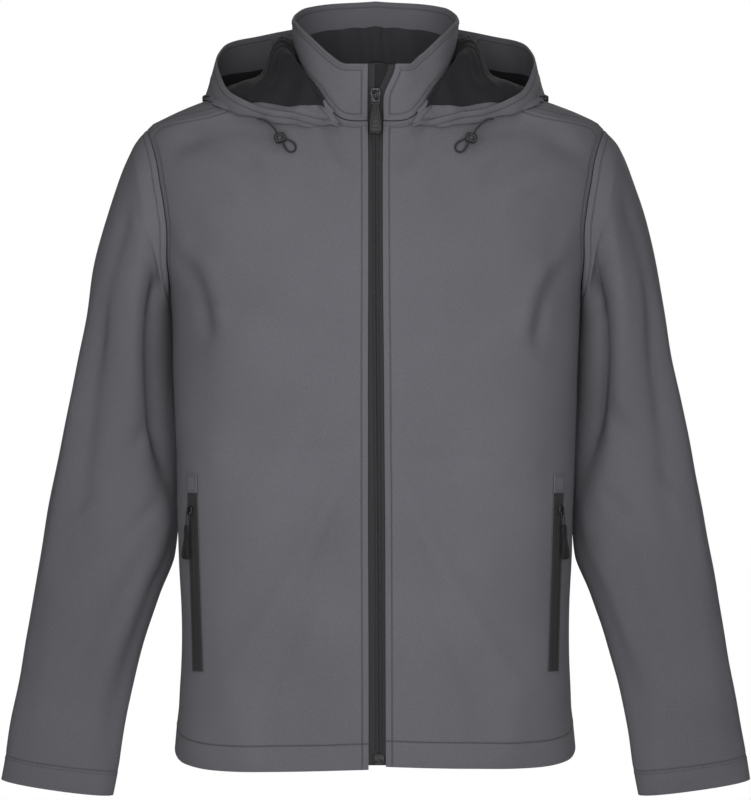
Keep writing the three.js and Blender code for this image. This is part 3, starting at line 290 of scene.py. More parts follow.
def makeMetal():
    finish = gunmetalFinish
    material, start, shader = newMaterial("gunmetal", {"Metallic": finish["metallic"]})
    wear = spot(start, 240, 3.0)
    fine = spot(start, 2200, 1.0)
    feed(wear.blend(finish["dark"], finish["worn"]), shader, "Base Color")
    feed((finish["roughness"] + (wear - 0.5) * 0.3 + (fine - 0.5) * 0.1).clipped(), shader, "Roughness")
    feed(fine.bump(0.00003, 0.5), shader, "Normal")
    return material


# Moulded pieces and thread: a shade and a roughness each
# the thread is darker than the shell cloth: partly painted shade, standing in for the shadow along the stitch
# lines
mouldedFinishes = {"softGrip": (0.011, 0.5), "zipTeeth": (0.032, 0.42), "sewingThread": (0.045, 0.75)}


def makeMoulded(name):
    shade, rough = mouldedFinishes[name]
    material, start, shader = newMaterial(name, {"Specular IOR Level": 0.3})
    cloud = spot(start, 160, 3.0)
    grain = spot(start, 3200, 1.0)
    feed(cloud.blend(grey(shade * 0.7), grey(shade * 1.35)), shader, "Base Color")
    feed((rough + (cloud - 0.5) * 0.18 + (grain - 0.5) * 0.1).clipped(), shader, "Roughness")
    feed(grain.bump(0.00004, 0.6), shader, "Normal")
    return material


cordFabric = {"dark": 0.004, "light": 0.022, "plaitsAlong": 2600, "plaitsAround": 4}


def makeCord():
    material, start, shader = newMaterial("braidedCord", {"Sheen Weight": 0.1, "Specular IOR Level": 0.3})
    around, along, _ = clothPlace(start).split()
    turn = around * (2 * math.pi) * cordFabric["plaitsAround"]
    first = (along * cordFabric["plaitsAlong"] + turn).sine()
    second = (along * cordFabric["plaitsAlong"] - turn).sine()
    braid = first * second
    fine = spot(start, 2400, 1.0)
    tone = (0.5 + braid * 0.35 + (fine - 0.5) * 0.4).clipped()
    feed(tone.blend(grey(cordFabric["dark"]), grey(cordFabric["light"])), shader, "Base Color")
    feed((0.7 + braid * 0.1).clipped(), shader, "Roughness")
    feed(braid.bump(0.00025, 0.8), shader, "Normal")
    return material


shellCloth = makeShell()
shadedHoodKnit, litNeckKnit, innerCloth = (makeLining(name) for name in liningFabric["shades"])
tapeCloth = makeTape()
gunmetal = makeMetal()
gripRubber, toothPlastic, sewingThread = (makeMoulded(name) for name in mouldedFinishes)
cordCloth = makeCord()
print("materials made")

# The body's form, the same as the CAD source's
seamGap = 0.3
hemHeight = {"right": -696, "left": -693}
hemRise = {"share": [0, 0.3, 0.6, 0.75, 0.88, 1], "z": [0, -2.5, -4.5, -2, 5, 12], "reach": 160}
armpitHeight = -215
zipOpening = 14.5
zipDrift = 2
zipTopLean = 12.4
bodySections = {
    "z": [
        -697, -665, -640, -577, -470, -378, -290, -215, -178, -148, -128,
        -95, -63, -42, -30, -14, 2, 13, 22, 33, 46,
    ],
    "side": [
        210, 207.5, 204.5, 202, 205.5, 208.5, 212, 214.5, 226, 234, 240,
        245.5, 244.5, 240, 219, 180, 135, 105, 78, 62, 46,
    ],
    "front": [
        120, 121, 122, 124, 128, 131, 133, 133, 131, 128, 125,
        119, 111, 104, 101.5, 98, 90, 81, 70, 58, 46,
    ],
    "back": [
        118, 118, 118, 117, 118, 121, 126, 129, 129, 128, 127,
        122, 114, 107, 104, 99, 91, 85, 79, 72, 58,
    ],
    "square": [
        2.8, 2.8, 2.8, 2.8, 2.8, 2.7, 2.6, 2.4, 2.3, 2.2, 2.15,
        2.1, 2.05, 2, 2, 2, 2, 2, 2, 2, 2,
    ],
}
yokeFoot = -95
armhole = {"middle": -128.5, "half": 86.5, "reach": 0.215, "seamTurn": 0.433}
neckHole = {"side": 78, "front": 104.5, "back": 72, "square": 2.3, "frontSquare": 3.5}
collarTop = {"side": 88, "front": 113, "back": 90, "square": 2.3}
collarBelly = 2
collarFall = {"fromRise": 0.35, "toShare": 0.3}
shoulderSeam = {"neckShare": 0.64, "bow": 28, "backShare": 1.15}
collarRise = {
    "share": [0, 0.18, 0.31, 0.39, 0.49, 0.8, 1, 1.2, 1.4, 1.7, 2],
    "z": [12.5, 13, 25, 35, 46, 68, 74, 84.5, 95, 103.5, 107],
}


def mix(a, b, t):
    return a + (b - a) * t


def smooth(low, high, value):
    t = np.clip((value - low) / (high - low), 0, 1)
    return t * t * (3 - 2 * t)


def monotone(xs, ys):
    xs, ys = np.array(xs, float), np.array(ys, float)
    slopes = np.diff(ys) / np.diff(xs)
    before, after = slopes[:-1], slopes[1:]
    total = np.where(before + after == 0, 1, before + after)
    inner = np.where(before * after <= 0, 0, 2 * before * after / total)
    tangents = np.concatenate([slopes[:1], inner, slopes[-1:]])

    def at(x):
        x = np.clip(x, xs[0], xs[-1])
        i = np.clip(np.searchsorted(xs, x, side="left") - 1, 0, len(xs) - 2)
        span = xs[i + 1] - xs[i]
        t = (x - xs[i]) / span
        t2, t3 = t * t, t * t * t
        ends = ys[i] * (2 * t3 - 3 * t2 + 1) + ys[i + 1] * (3 * t2 - 2 * t3)
        return ends + span * (tangents[i] * (t3 - 2 * t2 + t) + tangents[i + 1] * (t3 - t2))

    return at


easing = {"reach": 24, "low": -160, "high": -115}


# Below the shoulders the curve is averaged over a short reach, so that no row of the table shows
def eased(curve):
    def at(z):
        z = np.asarray(z, float)
        reach = easing["reach"] * (1 - smooth(easing["low"], easing["high"], z))
        return sum(curve(z + reach * k / 3) for k in range(-3, 4)) / 7

    return at


bodySide = monotone(bodySections["z"], bodySections["side"])
bodyFront = eased(monotone(bodySections["z"], bodySections["front"]))
bodyBack = eased(monotone(bodySections["z"], bodySections["back"]))
bodySquare = monotone(bodySections["z"], bodySections["square"])
collarHeight = monotone(collarRise["share"], collarRise["z"])
hemDip = monotone(hemRise["share"], hemRise["z"])
quarterSteps = 72


# A quarter of a rounded section, by share of its length from the middle to the side
def quarter(share, side, depth, square):
    inputs = [np.asarray(v, float) for v in (share, side, depth, square)]
    share, side, depth, square = np.broadcast_arrays(*inputs)
    turns = np.linspace(0, math.pi / 2, quarterSteps + 1)
    power = 2 / square[..., None]
    xs = side[..., None] * np.sin(turns) ** power
    ys = depth[..., None] * np.clip(np.cos(turns), 0, 1) ** power
    steps = np.hypot(np.diff(xs), np.diff(ys))
    lengths = np.concatenate([np.zeros(share.shape + (1,)), np.cumsum(steps, axis=-1)], axis=-1)
    total = lengths[..., -1]
    wanted = np.clip(share, 0, 1) * total
    i = np.clip((lengths < wanted[..., None]).sum(-1) - 1, 0, quarterSteps - 1)
    low = np.take_along_axis(lengths, i[..., None], -1)[..., 0]
    high = np.take_along_axis(lengths, i[..., None] + 1, -1)[..., 0]
    turn = turns[i] + (wanted - low) / (high - low) * turns[1]
    x = side * np.sin(turn) ** (2 / square)
    y = depth * np.clip(np.cos(turn), 0, 1) ** (2 / square)
    return x, y, total


def planPoint(share, outline):
    share = np.asarray(share, float)
    behind = share > 1
    depth = np.where(behind, outline["back"], outline["front"])
    square = np.where(behind, outline["square"], outline.get("frontSquare", outline["square"]))
    x, y, length = quarter(np.where(behind, 2 - share, share), outline["side"], depth, square)
    return x, np.where(behind, y, -y), length


def ringAt(z):
    return {"side": bodySide(z), "front": bodyFront(z), "back": bodyBack(z), "square": bodySquare(z)}


def body(share, z):
    share, z = np.broadcast_arrays(np.asarray(share, float), np.asarray(z, float))
    x, y, _ = planPoint(share, ringAt(z))
    return np.stack([x, y, z], -1)


def fullness(x, y, z):
    ring = ringAt(z)
    depth = np.where(y < 0, ring["front"], ring["back"])
    power = ring["square"]
    return ((np.abs(x) / ring["side"]) ** power + (np.abs(y) / depth) ** power) ** (1 / power)


heightHalvings = 36


def heightAt(x, y):
    low, high = np.full(np.shape(x), yokeFoot - 1.0), np.full(np.shape(x), float(bodySections["z"][-1]))
    for _ in range(heightHalvings):
        middle = (low + high) / 2
        inside = fullness(x, y, middle) < 1
        low, high = np.where(inside, middle, low), np.where(inside, high, middle)
    return (low + high) / 2


def onShoulder(x, y):
    return np.stack([x, y, heightAt(x, y)], -1)


def bodyGradient(p):
    x, y, z = p[..., 0], p[..., 1], p[..., 2]
    d = 0.5  # half a millimetre to each side
    slope = [fullness(x + d, y, z) - fullness(x - d, y, z), fullness(x, y + d, z) - fullness(x, y - d, z)]
    slope.append(fullness(x, y, z + d) - fullness(x, y, z - d))
    return np.stack(slope, -1) / (2 * d)


def unit(v):
    return v / np.maximum(np.linalg.norm(v, axis=-1, keepdims=True), 1e-9)


def clearOfBody(p, gap):
    p = np.array(p, float)
    for _ in range(4):
        gradient = bodyGradient(p)
        size = np.linalg.norm(gradient, axis=-1)
        distance = (fullness(p[..., 0], p[..., 1], p[..., 2]) - 1) / size
        p = p + unit(gradient) * np.maximum(gap - distance, 0)[..., None]
    return p


def mirrored(p):
    return p * np.array([-1, 1, 1])


def bothSides(half):
    return np.concatenate([half, mirrored(half)[:, ::-1][:, 1:]], axis=1)


# Soft folds, as seen from the front: two ends, half width, depth (below zero sinks) and bow of the line
def foldDepth(folds, x, z):
    total = np.zeros(np.shape(x))
    for x1, z1, x2, z2, width, depth, bow in folds:
        length = math.hypot(x2 - x1, z2 - z1)
        ax, az = (x2 - x1) / length, (z2 - z1) / length
        t = ((x - x1) * ax + (z - z1) * az) / length
        across = (x - x1) * az - (z - z1) * ax - bow * 4 * t * (1 - t)
        total += depth * np.exp(-((across / width) ** 2)) * smooth(-0.15, 0.2, t) * (1 - smooth(0.8, 1.15, t))
    return total


# A slow, small swell of the cloth, the same each run
def ripple(p, seed=0.0):
    x, y, z = p[..., 0], p[..., 1], p[..., 2]
    a = np.sin(x / 31 + z / 47 + seed + 1.3 * np.sin(z / 83 + seed)) * np.sin(z / 38 - y / 29 + 2.1 * seed)
    b = np.sin(x / 17 - z / 26 + 2.7 + seed * 1.7 + np.sin(x / 41)) * np.sin(z / 21 + y / 19 + seed)
    return a * 0.75 + b * 0.28


# Cloth pieces: a grid of points moved into place, with the cloth's own metres kept as a map
def clothGrid(points, flat, keep=None, closed=False):
    rows, columns = points.shape[:2]
    bm = bmesh.new()
    weave = bm.loops.layers.uv.new("weave")
    bm.verts.layers.float.new("seam")
    bm.verts.layers.float.new("hem")
    bmesh.ops.create_grid(bm, x_segments=columns - 1, y_segments=rows - 1, size=1)
    verts = np.empty((rows, columns), object)
    place = {}
    for vert in bm.verts:
        r = round((vert.co.y + 1) / 2 * (rows - 1))
        c = round((vert.co.x + 1) / 2 * (columns - 1))
        verts[r, c] = vert
        place[vert] = (r, c)
    spare = []
    for face in bm.faces:
        corners = [place[loop.vert] for loop in face.loops]
        for loop, corner in zip(face.loops, corners):
            loop[weave].uv = flat[corner]
        if keep is not None and not keep[min(r for r, _ in corners), min(c for _, c in corners)]:
            spare.append(face)
    for vert, (r, c) in place.items():
        vert.co = points[r, c]
    if spare:
        bmesh.ops.delete(bm, geom=spare, context="FACES")
    if closed:
        bmesh.ops.weld_verts(bm, targetmap={verts[r, -1]: verts[r, 0] for r in range(rows)})
        verts[:, -1] = verts[:, 0]
    bm.normal_update()
    return bm, verts


# Where cloth is sewn: the stitching's distance from a seam and a hem, and the soft grooves it pulls
sewing = {
    "fromSeam": 6.5,
    "fromHem": 26,
    "seamGroove": 1.5,
    "hemGroove": 1.8,
    "roll": 1.6,
    "still": 16,
    "far": 60.0,
}


# How far each point of a piece is from the nearest of some places
def nearest(bm, places):
    tree = KDTree(max(1, len(places)))
    for k, place in enumerate(places):
        tree.insert(place, k)
    tree.balance()
    far = sewing["far"]
    return np.array([min(far, tree.find(v.co)[2]) if places else far for v in bm.verts])


def alongEdges(pairs):
    return [a.co.lerp(b.co, k / 5) for a, b in pairs for k in range(5)]


# Cloth takes its folds and its seams' grooves, and its points keep their distance from a seam and the hem
def settle(bm, shape, hemRow=None, seams=True, sink=0.5, groove=0.45):
    hemVerts = set() if hemRow is None else set(hemRow)
    edges = [e.verts for e in bm.edges if e.is_boundary and not hemVerts.issuperset(e.verts)]
    seam = nearest(bm, alongEdges(edges) if seams else [])
    hem = nearest(bm, [] if hemRow is None else alongEdges(zip(hemRow, hemRow[1:])))
    places = np.array([v.co[:] for v in bm.verts])
    normals = np.array([v.normal[:] for v in bm.verts])
    amount = shape(places) * smooth(0, sewing["still"], seam)
    amount -= sink * np.exp(-((seam / sewing["roll"]) ** 2))  # the edge rolls under into its seam
    seamGroove = np.exp(-(((seam - sewing["fromSeam"]) / sewing["seamGroove"]) ** 2))
    hemGroove = np.exp(-(((hem - sewing["fromHem"]) / sewing["hemGroove"]) ** 2))
    amount -= groove * seamGroove + groove * hemGroove
    seamLayer, hemLayer = bm.verts.layers.float["seam"], bm.verts.layers.float["hem"]
    for vert, place, a, b in zip(bm.verts, places + normals * amount[:, None], seam, hem):
        vert.co = place
        vert[seamLayer] = a * mm
        vert[hemLayer] = b * mm
    bm.normal_update()


# Every piece ends here: in metres, smooth, and given its material, body and CAD node
def addObject(bm, name, materials, node=None, bodyName="jacket"):
    bmesh.ops.scale(bm, vec=(mm,) * 3, verts=bm.verts)
    for face in bm.faces:
        face.smooth = True
    mesh = bpy.data.meshes.new(name)
    bm.to_mesh(mesh)
    bm.free()
    obj = bpy.data.objects.new(name, mesh)
    for material in materials:
        mesh.materials.append(material)
    scene.collection.objects.link(obj)
    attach(obj, bodyName)
    if node:
        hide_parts(node)
    return obj


def wall(obj, thickness, rim, inside=0):
    solid = obj.modifiers.new("thickness", "SOLIDIFY")
    solid.thickness = thickness * mm
    solid.offset = -1
    solid.use_even_offset = False
    solid.material_offset = inside
    bevel = obj.modifiers.new("softRim", "BEVEL")
    bevel.width = rim * mm
    bevel.segments = 2
    bevel.limit_method = "ANGLE"
    bevel.angle_limit = math.radians(50)


# A line on the cloth at a set distance inside one of its edges, with the way the cloth faces
def insetLine(verts, side, distance, first=0, last=None):
    grid = {"start": verts, "end": verts[:, ::-1], "bottom": verts.T, "top": verts[::-1].T}[side]
    grid = grid[first:last]
    lines = []
    for row in grid:
        travelled = 0.0
        for a, b in zip(row, row[1:]):
            step = (b.co - a.co).length
            if travelled + step >= distance:
                t = (distance - travelled) / step
                lines.append((a.co.lerp(b.co, t), a.normal.lerp(b.normal, t).normalized()))
                break
            travelled += step
    return lines


stitch = {"pitch": 3.3, "long": 2.4, "wide": 0.8, "high": 0.5, "lift": 0.14}
stitchLines = {}


def sew(name, line, pitch=None):
    stitchLines.setdefault(name, []).append((line, pitch or stitch["pitch"]))


def stitchPlaces(line, pitch):
    wait = pitch / 2
    for (a, na), (b, nb) in zip(line, line[1:]):
        step = (b - a).length
        if step < 1e-6:
            continue
        along = (b - a).normalized()
        while wait < step:
            out = na.lerp(nb, wait / step).normalized()
            across = along.cross(out).normalized()
            turn = Matrix((along, across, out)).transposed().to_4x4()
            yield Matrix.Translation(a.lerp(b, wait / step)) @ turn
            wait += pitch
        wait -= step


def joined(*parts):
    whole = bmesh.new()
    for part in parts:
        carrier = bpy.data.meshes.new("carrier")
        part.to_mesh(carrier)
        part.free()
        whole.from_mesh(carrier)
        bpy.data.meshes.remove(carrier)
    return whole


# Many small parts are made forty at a time, which keeps the operators quick
def manyParts(name, places, makeOne, material, node=None):
    places = list(places)
    lots = []
    for k in range(0, len(places), 40):
        lots.append(bmesh.new())
        for place in places[k : k + 40]:
            makeOne(lots[-1], place)
    addObject(joined(*lots), name, [material], node)


def oneStitch(bm, place):
    size = Matrix.Diagonal((stitch["long"] / 2, stitch["wide"] / 2, stitch["high"] / 2, 1))
    lift = Matrix.Translation((0, 0, stitch["lift"]))
    bmesh.ops.create_uvsphere(bm, u_segments=6, v_segments=4, radius=1, matrix=place @ lift @ size)


def makeStitching():
    for name, lines in stitchLines.items():
        places = [place for line, pitch in lines for place in stitchPlaces(line, pitch)]
        manyParts(name, places, oneStitch, sewingThread)


# Front panels
def edgeStops(hem, lowRows, armRows):
    # the first turns are the widest, so that no row of cells is thinner than its neighbours
    turn = mix(math.pi, armhole["seamTurn"], np.linspace(0, 1, armRows + 1) ** 0.7)
    low = np.linspace(hem, armpitHeight, lowRows + 1)[:-1]
    reach = np.concatenate([np.zeros(lowRows), armhole["reach"] * np.sin(turn)])
    return reach, np.concatenate([low, armhole["middle"] + armhole["half"] * np.cos(turn)])


seamFootHeight = armhole["middle"] + armhole["half"] * math.cos(armhole["seamTurn"])


def centreHeight(edgeZ, hem):
    return hem + ((edgeZ - hem) / (seamFootHeight - hem)) * (yokeFoot - hem)


def hemShare(z, hem):
    return (1 - smooth(0, hemRise["reach"], z - hem)) ** 2


def zipShift(z):
    return zipDrift * (1 - smooth(hemHeight["left"], yokeFoot, z))


# how many cells a panel has across its front, up its straight side, round its armhole, and so on
cut = {"frontColumns": 56, "lowRows": 96, "armRows": 40, "yokeRows": 22, "arcColumns": 16, "backHalf": 56}
neckStart = zipOpening / 2 / float(planPoint(0, neckHole)[2])


def frontRows(hem, sign):
    u = np.linspace(0, 1, cut["frontColumns"] + 1)[None]
    reach, edgeZ = (v[:, None] for v in edgeStops(hem, cut["lowRows"], cut["armRows"]))
    z = mix(centreHeight(edgeZ, hem), edgeZ, u) + hemDip(u) * hemShare(edgeZ, hem)
    start = (zipOpening / 2 + sign * zipShift(z)) / planPoint(np.zeros(z.shape), ringAt(z))[2]
    low = body(mix(start, 1 - reach, u), z)
    w = np.linspace(0, 1, cut["yokeRows"] + 1)[1:, None]
    neckX, neckY, _ = planPoint(mix(neckStart, shoulderSeam["neckShare"], u), neckHole)
    x = mix(low[-1, :, 0], neckX, w)
    y = mix(low[-1, :, 1], neckY, w) - shoulderSeam["bow"] * u**5 * 4 * w * (1 - w)
    return np.concatenate([low, onShoulder(x, y)])


def drawBack(rows, edges, gap=seamGap / 2):
    out = rows.copy()
    for edge, column, inner in (("start", 0, 1), ("end", -1, -2)):
        if edge in edges:
            out[:, column] += unit(rows[:, inner] - rows[:, column]) * gap
    if "top" in edges:
        out[-1] += unit(rows[-2] - rows[-1]) * gap
    return out


# Metres of cloth across each grid from one of its columns, and up it square to its rows
def clothMetres(points, middle=0):
    across = np.cumsum(np.linalg.norm(np.diff(points, axis=1, prepend=points[:, :1]), axis=-1), axis=1)
    along = unit(np.gradient(points, axis=1))
    rise = np.diff(points, axis=0, prepend=points[:1])
    rise = rise - along * (rise * along).sum(-1, keepdims=True)
    up = np.cumsum(np.linalg.norm(rise, axis=-1), axis=0)
    return np.stack([across - across[:, middle][:, None], up], -1) * mm


# The CAD source's folds, as foldDepth reads them
frontFolds = [
    (206, -66, 92, -66, 15, -5, 20),
    (206, -130, 120, -280, 26, 2.5, -8),
    (192, -120, 188, -300, 20, -3, 6),
    (150, -610, 132, -697, 20, 3, 4),
]
# Smaller folds, which the CAD source leaves to the scene
frontCreases = [
    (46, -34, 24, -92, 6, -2.8, -4),
    (60, -40, 40, -100, 8, 1.8, -4),
    (84, -60, 60, -118, 9, -1.8, -5),
    (208, -56, 112, -104, 13, -4.5, 12),
    (206, -82, 130, -132, 12, 2.4, 12),
    (178, -178, 150, -256, 11, 4.2, 5),
    (192, -186, 166, -268, 9, -4.6, 5),
    (200, -150, 178, -240, 9, 2.4, 4),
    (120, -150, 84, -300, 24, -2.0, -8),
    (150, -300, 166, -400, 22, 2.0, 6),
    (96, -330, 60, -520, 30, -3.0, 10),
    (58, -430, 46, -650, 22, 2.0, -6),
    (120, -560, 104, -690, 14, -1.0, 4),
    (40, -600, 52, -690, 14, 0.8, 3),
    (24, -392, 140, -600, 10, 3.4, 5),
    (30, -440, 104, -620, 9, -3.0, 3),
    (196, -384, 20, -379, 5, -1.5, 2),
    (22, -330, 80, -430, 12, 2.4, -3),
]
panelCloth = {"thickness": 1.7, "rim": 0.55, "zipStitch": 6.3, "shoulderStitch": 5}
# the cloth lies even round a pocket zip and under a cord lock: two ends and a width
evenPlaces = [(186, -398, 180.6, -604, 11), (99, -56, 84, -74, 10)]
evenFade = 16


def unevenness(x, z):
    share = np.ones(np.shape(x))
    for x1, z1, x2, z2, width in evenPlaces:
        runX, runZ = x2 - x1, z2 - z1
        t = np.clip(((x - x1) * runX + (z - z1) * runZ) / (runX**2 + runZ**2), 0, 1)
        share = share * smooth(width, width + evenFade, np.hypot(x - x1 - t * runX, z - z1 - t * runZ))
    return share


def makeFront(name, node, sign):
    hem = hemHeight["left" if sign > 0 else "right"]
    rows = drawBack(frontRows(hem, sign), ["end", "top"])
    if sign < 0:
        rows = mirrored(rows)[:, ::-1]
    bm, verts = clothGrid(rows, clothMetres(rows, 0 if sign > 0 else -1))
    seed = 0.0 if sign > 0 else 1.9

    def shape(p):
        x, z = np.abs(p[:, 0]), p[:, 2]
        small = foldDepth(frontCreases, x + 3 * sign, z + 4 * sign) + ripple(p, seed)
        return foldDepth(frontFolds, x, z) + unevenness(x, z) * small

    settle(bm, shape, hemRow=list(verts[0]))
    zipSide, seamSide = ("start", "end") if sign > 0 else ("end", "start")
    armStart, armEnd = cut["lowRows"] + 1, cut["lowRows"] + cut["armRows"]
    sew("frontStitching", insetLine(verts, zipSide, panelCloth["zipStitch"], first=1))
    sew("frontStitching", insetLine(verts, "bottom", sewing["fromHem"]))
    sew("frontStitching", insetLine(verts, seamSide, sewing["fromSeam"], first=armStart, last=armEnd))
    sew("frontStitching", insetLine(verts, "top", panelCloth["shoulderStitch"], first=1))
    obj = addObject(bm, name, [shellCloth, innerCloth], node)
    wall(obj, panelCloth["thickness"], panelCloth["rim"], inside=1)


makeFront("frontLeft", "front_left", 1)
makeFront("frontRight", "front_right", -1)
print("fronts made")

# Back
backFolds = [
    (190, -150, 120, -330, 18, -4, -12),
    (60, -260, 74, -600, 26, 3, 8),
    (150, -420, 128, -690, 20, -4, 6),
]
backCreases = [
    (30, -120, 90, -210, 22, -1.6, 10),
    (150, -130, 176, -240, 16, 1.6, -6),
    (20, -330, 10, -560, 30, -1.4, 5),
    (120, -520, 104, -690, 16, 1.2, 4),
]


def backGrid(hem):
    reach, edgeZ = (v[:, None] for v in edgeStops(hem, cut["lowRows"], cut["armRows"]))
    u = np.linspace(0, 1, cut["backHalf"] + 1)[None]
    z = mix(edgeZ, centreHeight(edgeZ, hem), u) + hemDip(1 - u) * hemShare(edgeZ, hem)
    low = drawBack(body(mix(1 + reach, 2, u), z), ["start"])
    t = np.linspace(0, 1, cut["arcColumns"] + 1)
    turn = mix(armhole["seamTurn"], -armhole["seamTurn"], t)
    arcFoot = body(1 - armhole["reach"] * np.sin(turn), armhole["middle"] + armhole["half"] * np.cos(turn))
    foot = np.concatenate([arcFoot, low[-1, 1:]])
    rest = np.linspace(0, 1, cut["backHalf"] + 1)[1:]
    overShoulder = mix(shoulderSeam["neckShare"], shoulderSeam["backShare"], t)
    share = np.concatenate([overShoulder, mix(shoulderSeam["backShare"], 2, rest)])
    bow = np.concatenate([shoulderSeam["bow"] * (1 - t) ** 2, np.zeros(len(rest))])
    neckX, neckY, _ = planPoint(share, neckHole)
    w = np.linspace(0, 1, cut["yokeRows"] + 1)[1:, None]
    high = onShoulder(mix(foot[:, 0], neckX, w), mix(foot[:, 1], neckY, w) - bow * 4 * w * (1 - w))
    high = np.concatenate([foot[None], high])
    high = drawBack(high, ["start", "top"])
    n = cut["arcColumns"]
    high[0, :n] += unit(high[1, :n] - high[0, :n]) * seamGap / 2
    pad = np.repeat(high[:1, :n], len(low) - 1, axis=0)
    return bothSides(np.concatenate([np.concatenate([pad, low[:-1]], axis=1), high]))


def makeBack():
    hem = (hemHeight["left"] + hemHeight["right"]) / 2
    points = backGrid(hem)
    n = cut["arcColumns"]
    lowRows = cut["lowRows"] + cut["armRows"]
    keep = np.ones((points.shape[0] - 1, points.shape[1] - 1), bool)
    keep[:lowRows, :n] = False
    keep[:lowRows, -n:] = False
    bm, verts = clothGrid(points, clothMetres(points, points.shape[1] // 2), keep)

    def shape(p):
        x, z = np.abs(p[:, 0]), p[:, 2]
        folds = foldDepth(backFolds, x, z) + foldDepth(backCreases, x + 3 * np.sign(p[:, 0]), z)
        return np.where(p[:, 1] > 0, folds, 0) + ripple(p, 0.8)

    settle(bm, shape, hemRow=list(verts[0, n:-n]))
    low = verts[: lowRows + 1, n:-n]
    sew("backStitching", insetLine(low, "bottom", sewing["fromHem"]))
    for side in ("start", "end"):
        sew("backStitching", insetLine(low, side, sewing["fromSeam"], first=cut["lowRows"] + 1))
    obj = addObject(bm, "backPanel", [shellCloth, innerCloth], "back")
    wall(obj, panelCloth["thickness"], panelCloth["rim"], inside=1)


makeBack()
print("back made")

# Sleeves
sleeveStations = {
    "outX": [252, 263.5, 274.5, 289.5, 300, 308.5, 319, 331.5, 343, 352.5, 362, 371, 381.5, 390.5, 395],
    "outZ": [-54, -76, -104, -146, -192, -245, -299, -357, -414, -470, -526, -584, -642, -698, -725],
    "inX": [216, 215.3, 214.8, 214.5, 214, 213, 211, 209, 208.5, 212, 229.5, 248, 262, 271.5, 277.5],
    "inZ": [-224, -236, -250, -268, -292, -325, -365, -408, -448, -488, -533, -592, -650, -710, -742],
    "depth": [67, 69, 70, 69, 66, 62, 58, 55, 52, 49, 45, 40, 35, 31, 28],
    "y": [7, 16, 23, 28, 31, 33, 34, 34, 33, 31, 28, 24, 20, 16, 14],
}
sleeveSquare = 2.15
# angle round the sleeve (0 is its outer line, 90 the front), share of its length, spread and depth
sleeveFolds = [
    (128, 0.1, 152, 0.48, 15, -9),
    (84, 0.06, 92, 0.42, 17, 4),
    (52, 0.3, 66, 0.62, 12, -6),
    (30, 0.36, 36, 0.7, 11, 3),
    (148, 0.55, 132, 0.8, 13, 4),
    (-70, 0.25, -58, 0.6, 16, -6),
    (-120, 0.4, -135, 0.75, 14, -5),
]
sleeveCreases = [
    (138, 0.03, 148, 0.52, 26, -12.0),
    (120, 0.06, 128, 0.46, 20, -7.0),
    (112, 0.02, 134, 0.46, 10, -4.0),
    (150, 0.6, 140, 0.9, 22, -6.0),
    (86, 0.02, 100, 0.36, 9, 2.6),
    (62, 0.1, 54, 0.36, 10, -2.6),
    (116, 0.42, 72, 0.56, 9, -4.6),
    (100, 0.47, 56, 0.62, 8, 2.8),
    (128, 0.54, 84, 0.66, 8, -2.6),
    (120, 0.6, 96, 0.86, 10, -2.0),
    (50, 0.7, 64, 0.95, 12, 1.5),
    (-20, 0.3, -30, 0.6, 12, -2.0),
    (-95, 0.5, -80, 0.8, 12, 1.8),
]
sleeveAlong = {key: monotone(range(len(values)), values) for key, values in sleeveStations.items()}


def sleevePoint(turn, station):
    s = {key: at(station) for key, at in sleeveAlong.items()}
    power = 2 / sleeveSquare
    across = np.sign(np.cos(turn)) * np.abs(np.cos(turn)) ** power
    through = np.sign(np.sin(turn)) * np.abs(np.sin(turn)) ** power
    x = (s["outX"] + s["inX"]) / 2 + (s["outX"] - s["inX"]) / 2 * across
    z = (s["outZ"] + s["inZ"]) / 2 + (s["outZ"] - s["inZ"]) / 2 * across
    return np.stack(np.broadcast_arrays(x, s["y"] - s["depth"] * through, z), -1)


def turnFolds(folds, degrees, along):
    total = np.zeros(np.broadcast(degrees, along).shape)
    for turn1, along1, turn2, along2, width, depth in folds:
        t = (along - along1) / (along2 - along1)
        across = degrees - mix(turn1, turn2, np.clip(t, 0, 1))
        total += depth * np.exp(-((across / width) ** 2)) * smooth(-0.2, 0.25, t) * (1 - smooth(0.75, 1.2, t))
    return total


# cells round and along a sleeve, where its head joins the tube, and the ring that gives its width
sleeveCut = {"around": 96, "headRows": 9, "rows": 126, "join": 0.3, "widthRow": 40, "hemStitch": 23}
lastStation = len(sleeveStations["y"]) - 1


